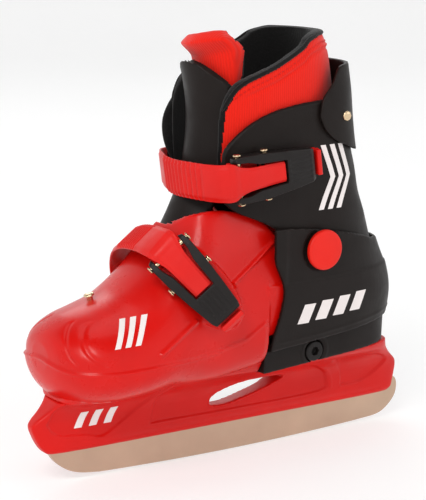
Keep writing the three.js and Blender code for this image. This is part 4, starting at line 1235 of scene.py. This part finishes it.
def side_mark(name, target, outline, body, slot):
    return mark(name, target, outline, lambda a, b: (a, -50, b), (0, 1, 0), body, slot)


def slanted(x, z, length, height, lean=0.35):
    """A slanted bar with its lower front corner at (x, z)."""
    top = x + lean * height
    return [(x, z), (x + length, z), (top + length, z + height), (top, z + height)]


def make_marks(toe, cuff, heel, holder):
    # the toe cap's bars are laid on from outside and above
    for number in range(3):
        bar = slanted(-96 + number * 5.4, 76, 3, 17, 0.55)
        mark(f"toe_bar_{number + 1}", toe, bar, lambda a, b: (a, -60, b + 12), (0, 0.94, -0.34),
             "toe", "red_plastic")
    for number in range(3):
        x = 33 + number * 6.2
        chevron = [(x, 140), (x + 3.4, 140), (x + 10.4, 158), (x + 3.4, 176), (x, 176), (x + 7, 158)]
        side_mark(f"cuff_chevron_{number + 1}", cuff, chevron, "cuff", "black_plastic")
    for number in range(4):
        side_mark(f"heel_bar_{number + 1}", heel, slanted(20 + number * 12, 77 + number * 1.0, 7.5, 11),
                  "root", "black_plastic")
    for number in range(3):
        side_mark(f"holder_bar_{number + 1}", holder, slanted(-104 + number * 9, 30, 4.6, 9),
                  "root", "red_plastic")


# ---- the skate -----------------------------------------------------------------------------
make_blade()
holder = make_holder()
make_heel_base()
make_bolt()
heel = make_heel_shell()
cuff = make_cuff()
make_spoiler()
toe = make_toe_shell()
make_disc(-1, "outer")
make_disc(1, "inner")
make_tongue()
make_liner()
make_flap()
make_pad()
make_strap("upper_strap_moulded", "upper_strap", UPPER, UPPER_PATH, (-0.14, 0, 0.99), 20.5,
           (2.1, 5.4), 3.7, "upper_strap_body")
make_strap("lower_strap_moulded", "lower_strap", LOWER, LOWER_PATH, (0.82, 0, 0.57), 18.5,
           (2.3, 5.0), 2.7, "lower_strap_body")
make_lever("upper", UPPER)
make_lever("lower", LOWER)
make_hardware()
make_marks(toe, cuff, heel, holder)

rim = rim_path(0.1, 0.9)
dress(tube("collar_binding", rim, 1.25), TAPE, "cuff", "red_fabric")
seam = rim_path(-0.25, 5.4, 2.2)
dress(stitches("collar_stitching", seam, 0.28, 1.9, 0.9), THREAD_RED, "cuff", "red_fabric")


# ---- stage, light and camera ---------------------------------------------------------------
FLOOR_FLAT, FLOOR_CURVE, FLOOR_TOP = 1900, 900, 3000
FLOOR_SIDES = 96


def make_stage():
    """A round pale floor that curves up into a wall all around."""
    profile = [(0.001, 0), (FLOOR_CURVE, 0), (FLOOR_FLAT, 0)]
    profile += [(FLOOR_FLAT + FLOOR_CURVE * math.sin(a), FLOOR_CURVE - FLOOR_CURVE * math.cos(a))
                for a in np.linspace(0.1, 1.5, 14)]
    profile += [(FLOOR_FLAT + FLOOR_CURVE, FLOOR_TOP)]
    turns = np.arange(FLOOR_SIDES) / FLOOR_SIDES * math.tau
    points = [(r * math.cos(a), r * math.sin(a), z) for r, z in profile for a in turns]
    floor = new_object("floor", points, walls(FLOOR_SIDES, len(profile) - 1))
    for face in floor.data.polygons:
        face.use_smooth = True
    floor.data.flip_normals()
    material, tree, surface, place = shader("floor_white")
    cloud = ramp(tree, noise(tree, place, 3, 2), (0.3, (0.5, 0.5, 0.5)), (0.7, (0.52, 0.52, 0.52)))
    feed(tree, surface, Base_Color=cloud, Roughness=0.8, Specular_IOR_Level=0.1,
         Emission_Color=(1, 1, 1, 1), Emission_Strength=0.54)
    floor.data.materials.append(material)
    floor.location.z = -0.0004


def softbox(name, spot, aim, width, height, watts, color):
    data = bpy.data.lights.new(name, "AREA")
    data.shape = "RECTANGLE"
    data.size, data.size_y = width, height
    data.energy = watts
    data.color = color
    lamp = show(name, data)
    lamp.location = spot
    lamp.rotation_euler = (Vector(aim) - Vector(spot)).to_track_quat("-Z", "Y").to_euler()


make_stage()
LAMPS = [
    # name, place, aim, width, height, watts, colour
    ["key_light", (-1.1, -0.9, 1.35), (0, 0, 0.1), 0.7, 0.7, 14, (1, 0.985, 0.96)],
    ["fill_light", (1.1, -1.2, 0.7), (0, 0, 0.12), 1.0, 0.9, 2.4, (1, 1, 1)],
    ["top_light", (0.1, 0.2, 1.7), (0, 0, 0.1), 1.0, 1.0, 4.4, (1, 1, 1)],
    ["back_light", (0.6, 1.4, 1.0), (0, 0, 0.15), 0.9, 0.5, 3, (1, 1, 1)],
]
for lamp in LAMPS:
    softbox(*lamp)

world = bpy.data.worlds.new("soft_light")
world.use_nodes = True
feed(world.node_tree, world.node_tree.nodes["Background"], Color=(0.97, 0.98, 1, 1), Strength=0.12)
scene.world = world
scene.view_settings.view_transform = "Standard"

TARGET = Vector((-0.01226, 0, 0.11638))
LOOK = Vector((0.533, 0.821, -0.204)).normalized()
DISTANCE = 1.0
camera_data = bpy.data.cameras.new("camera")
camera_data.lens = 129.84
camera_data.sensor_width = 36
camera = show("camera", camera_data)
camera.location = TARGET - LOOK * DISTANCE
camera.rotation_euler = LOOK.to_track_quat("-Z", "Y").to_euler()
scene.camera = camera
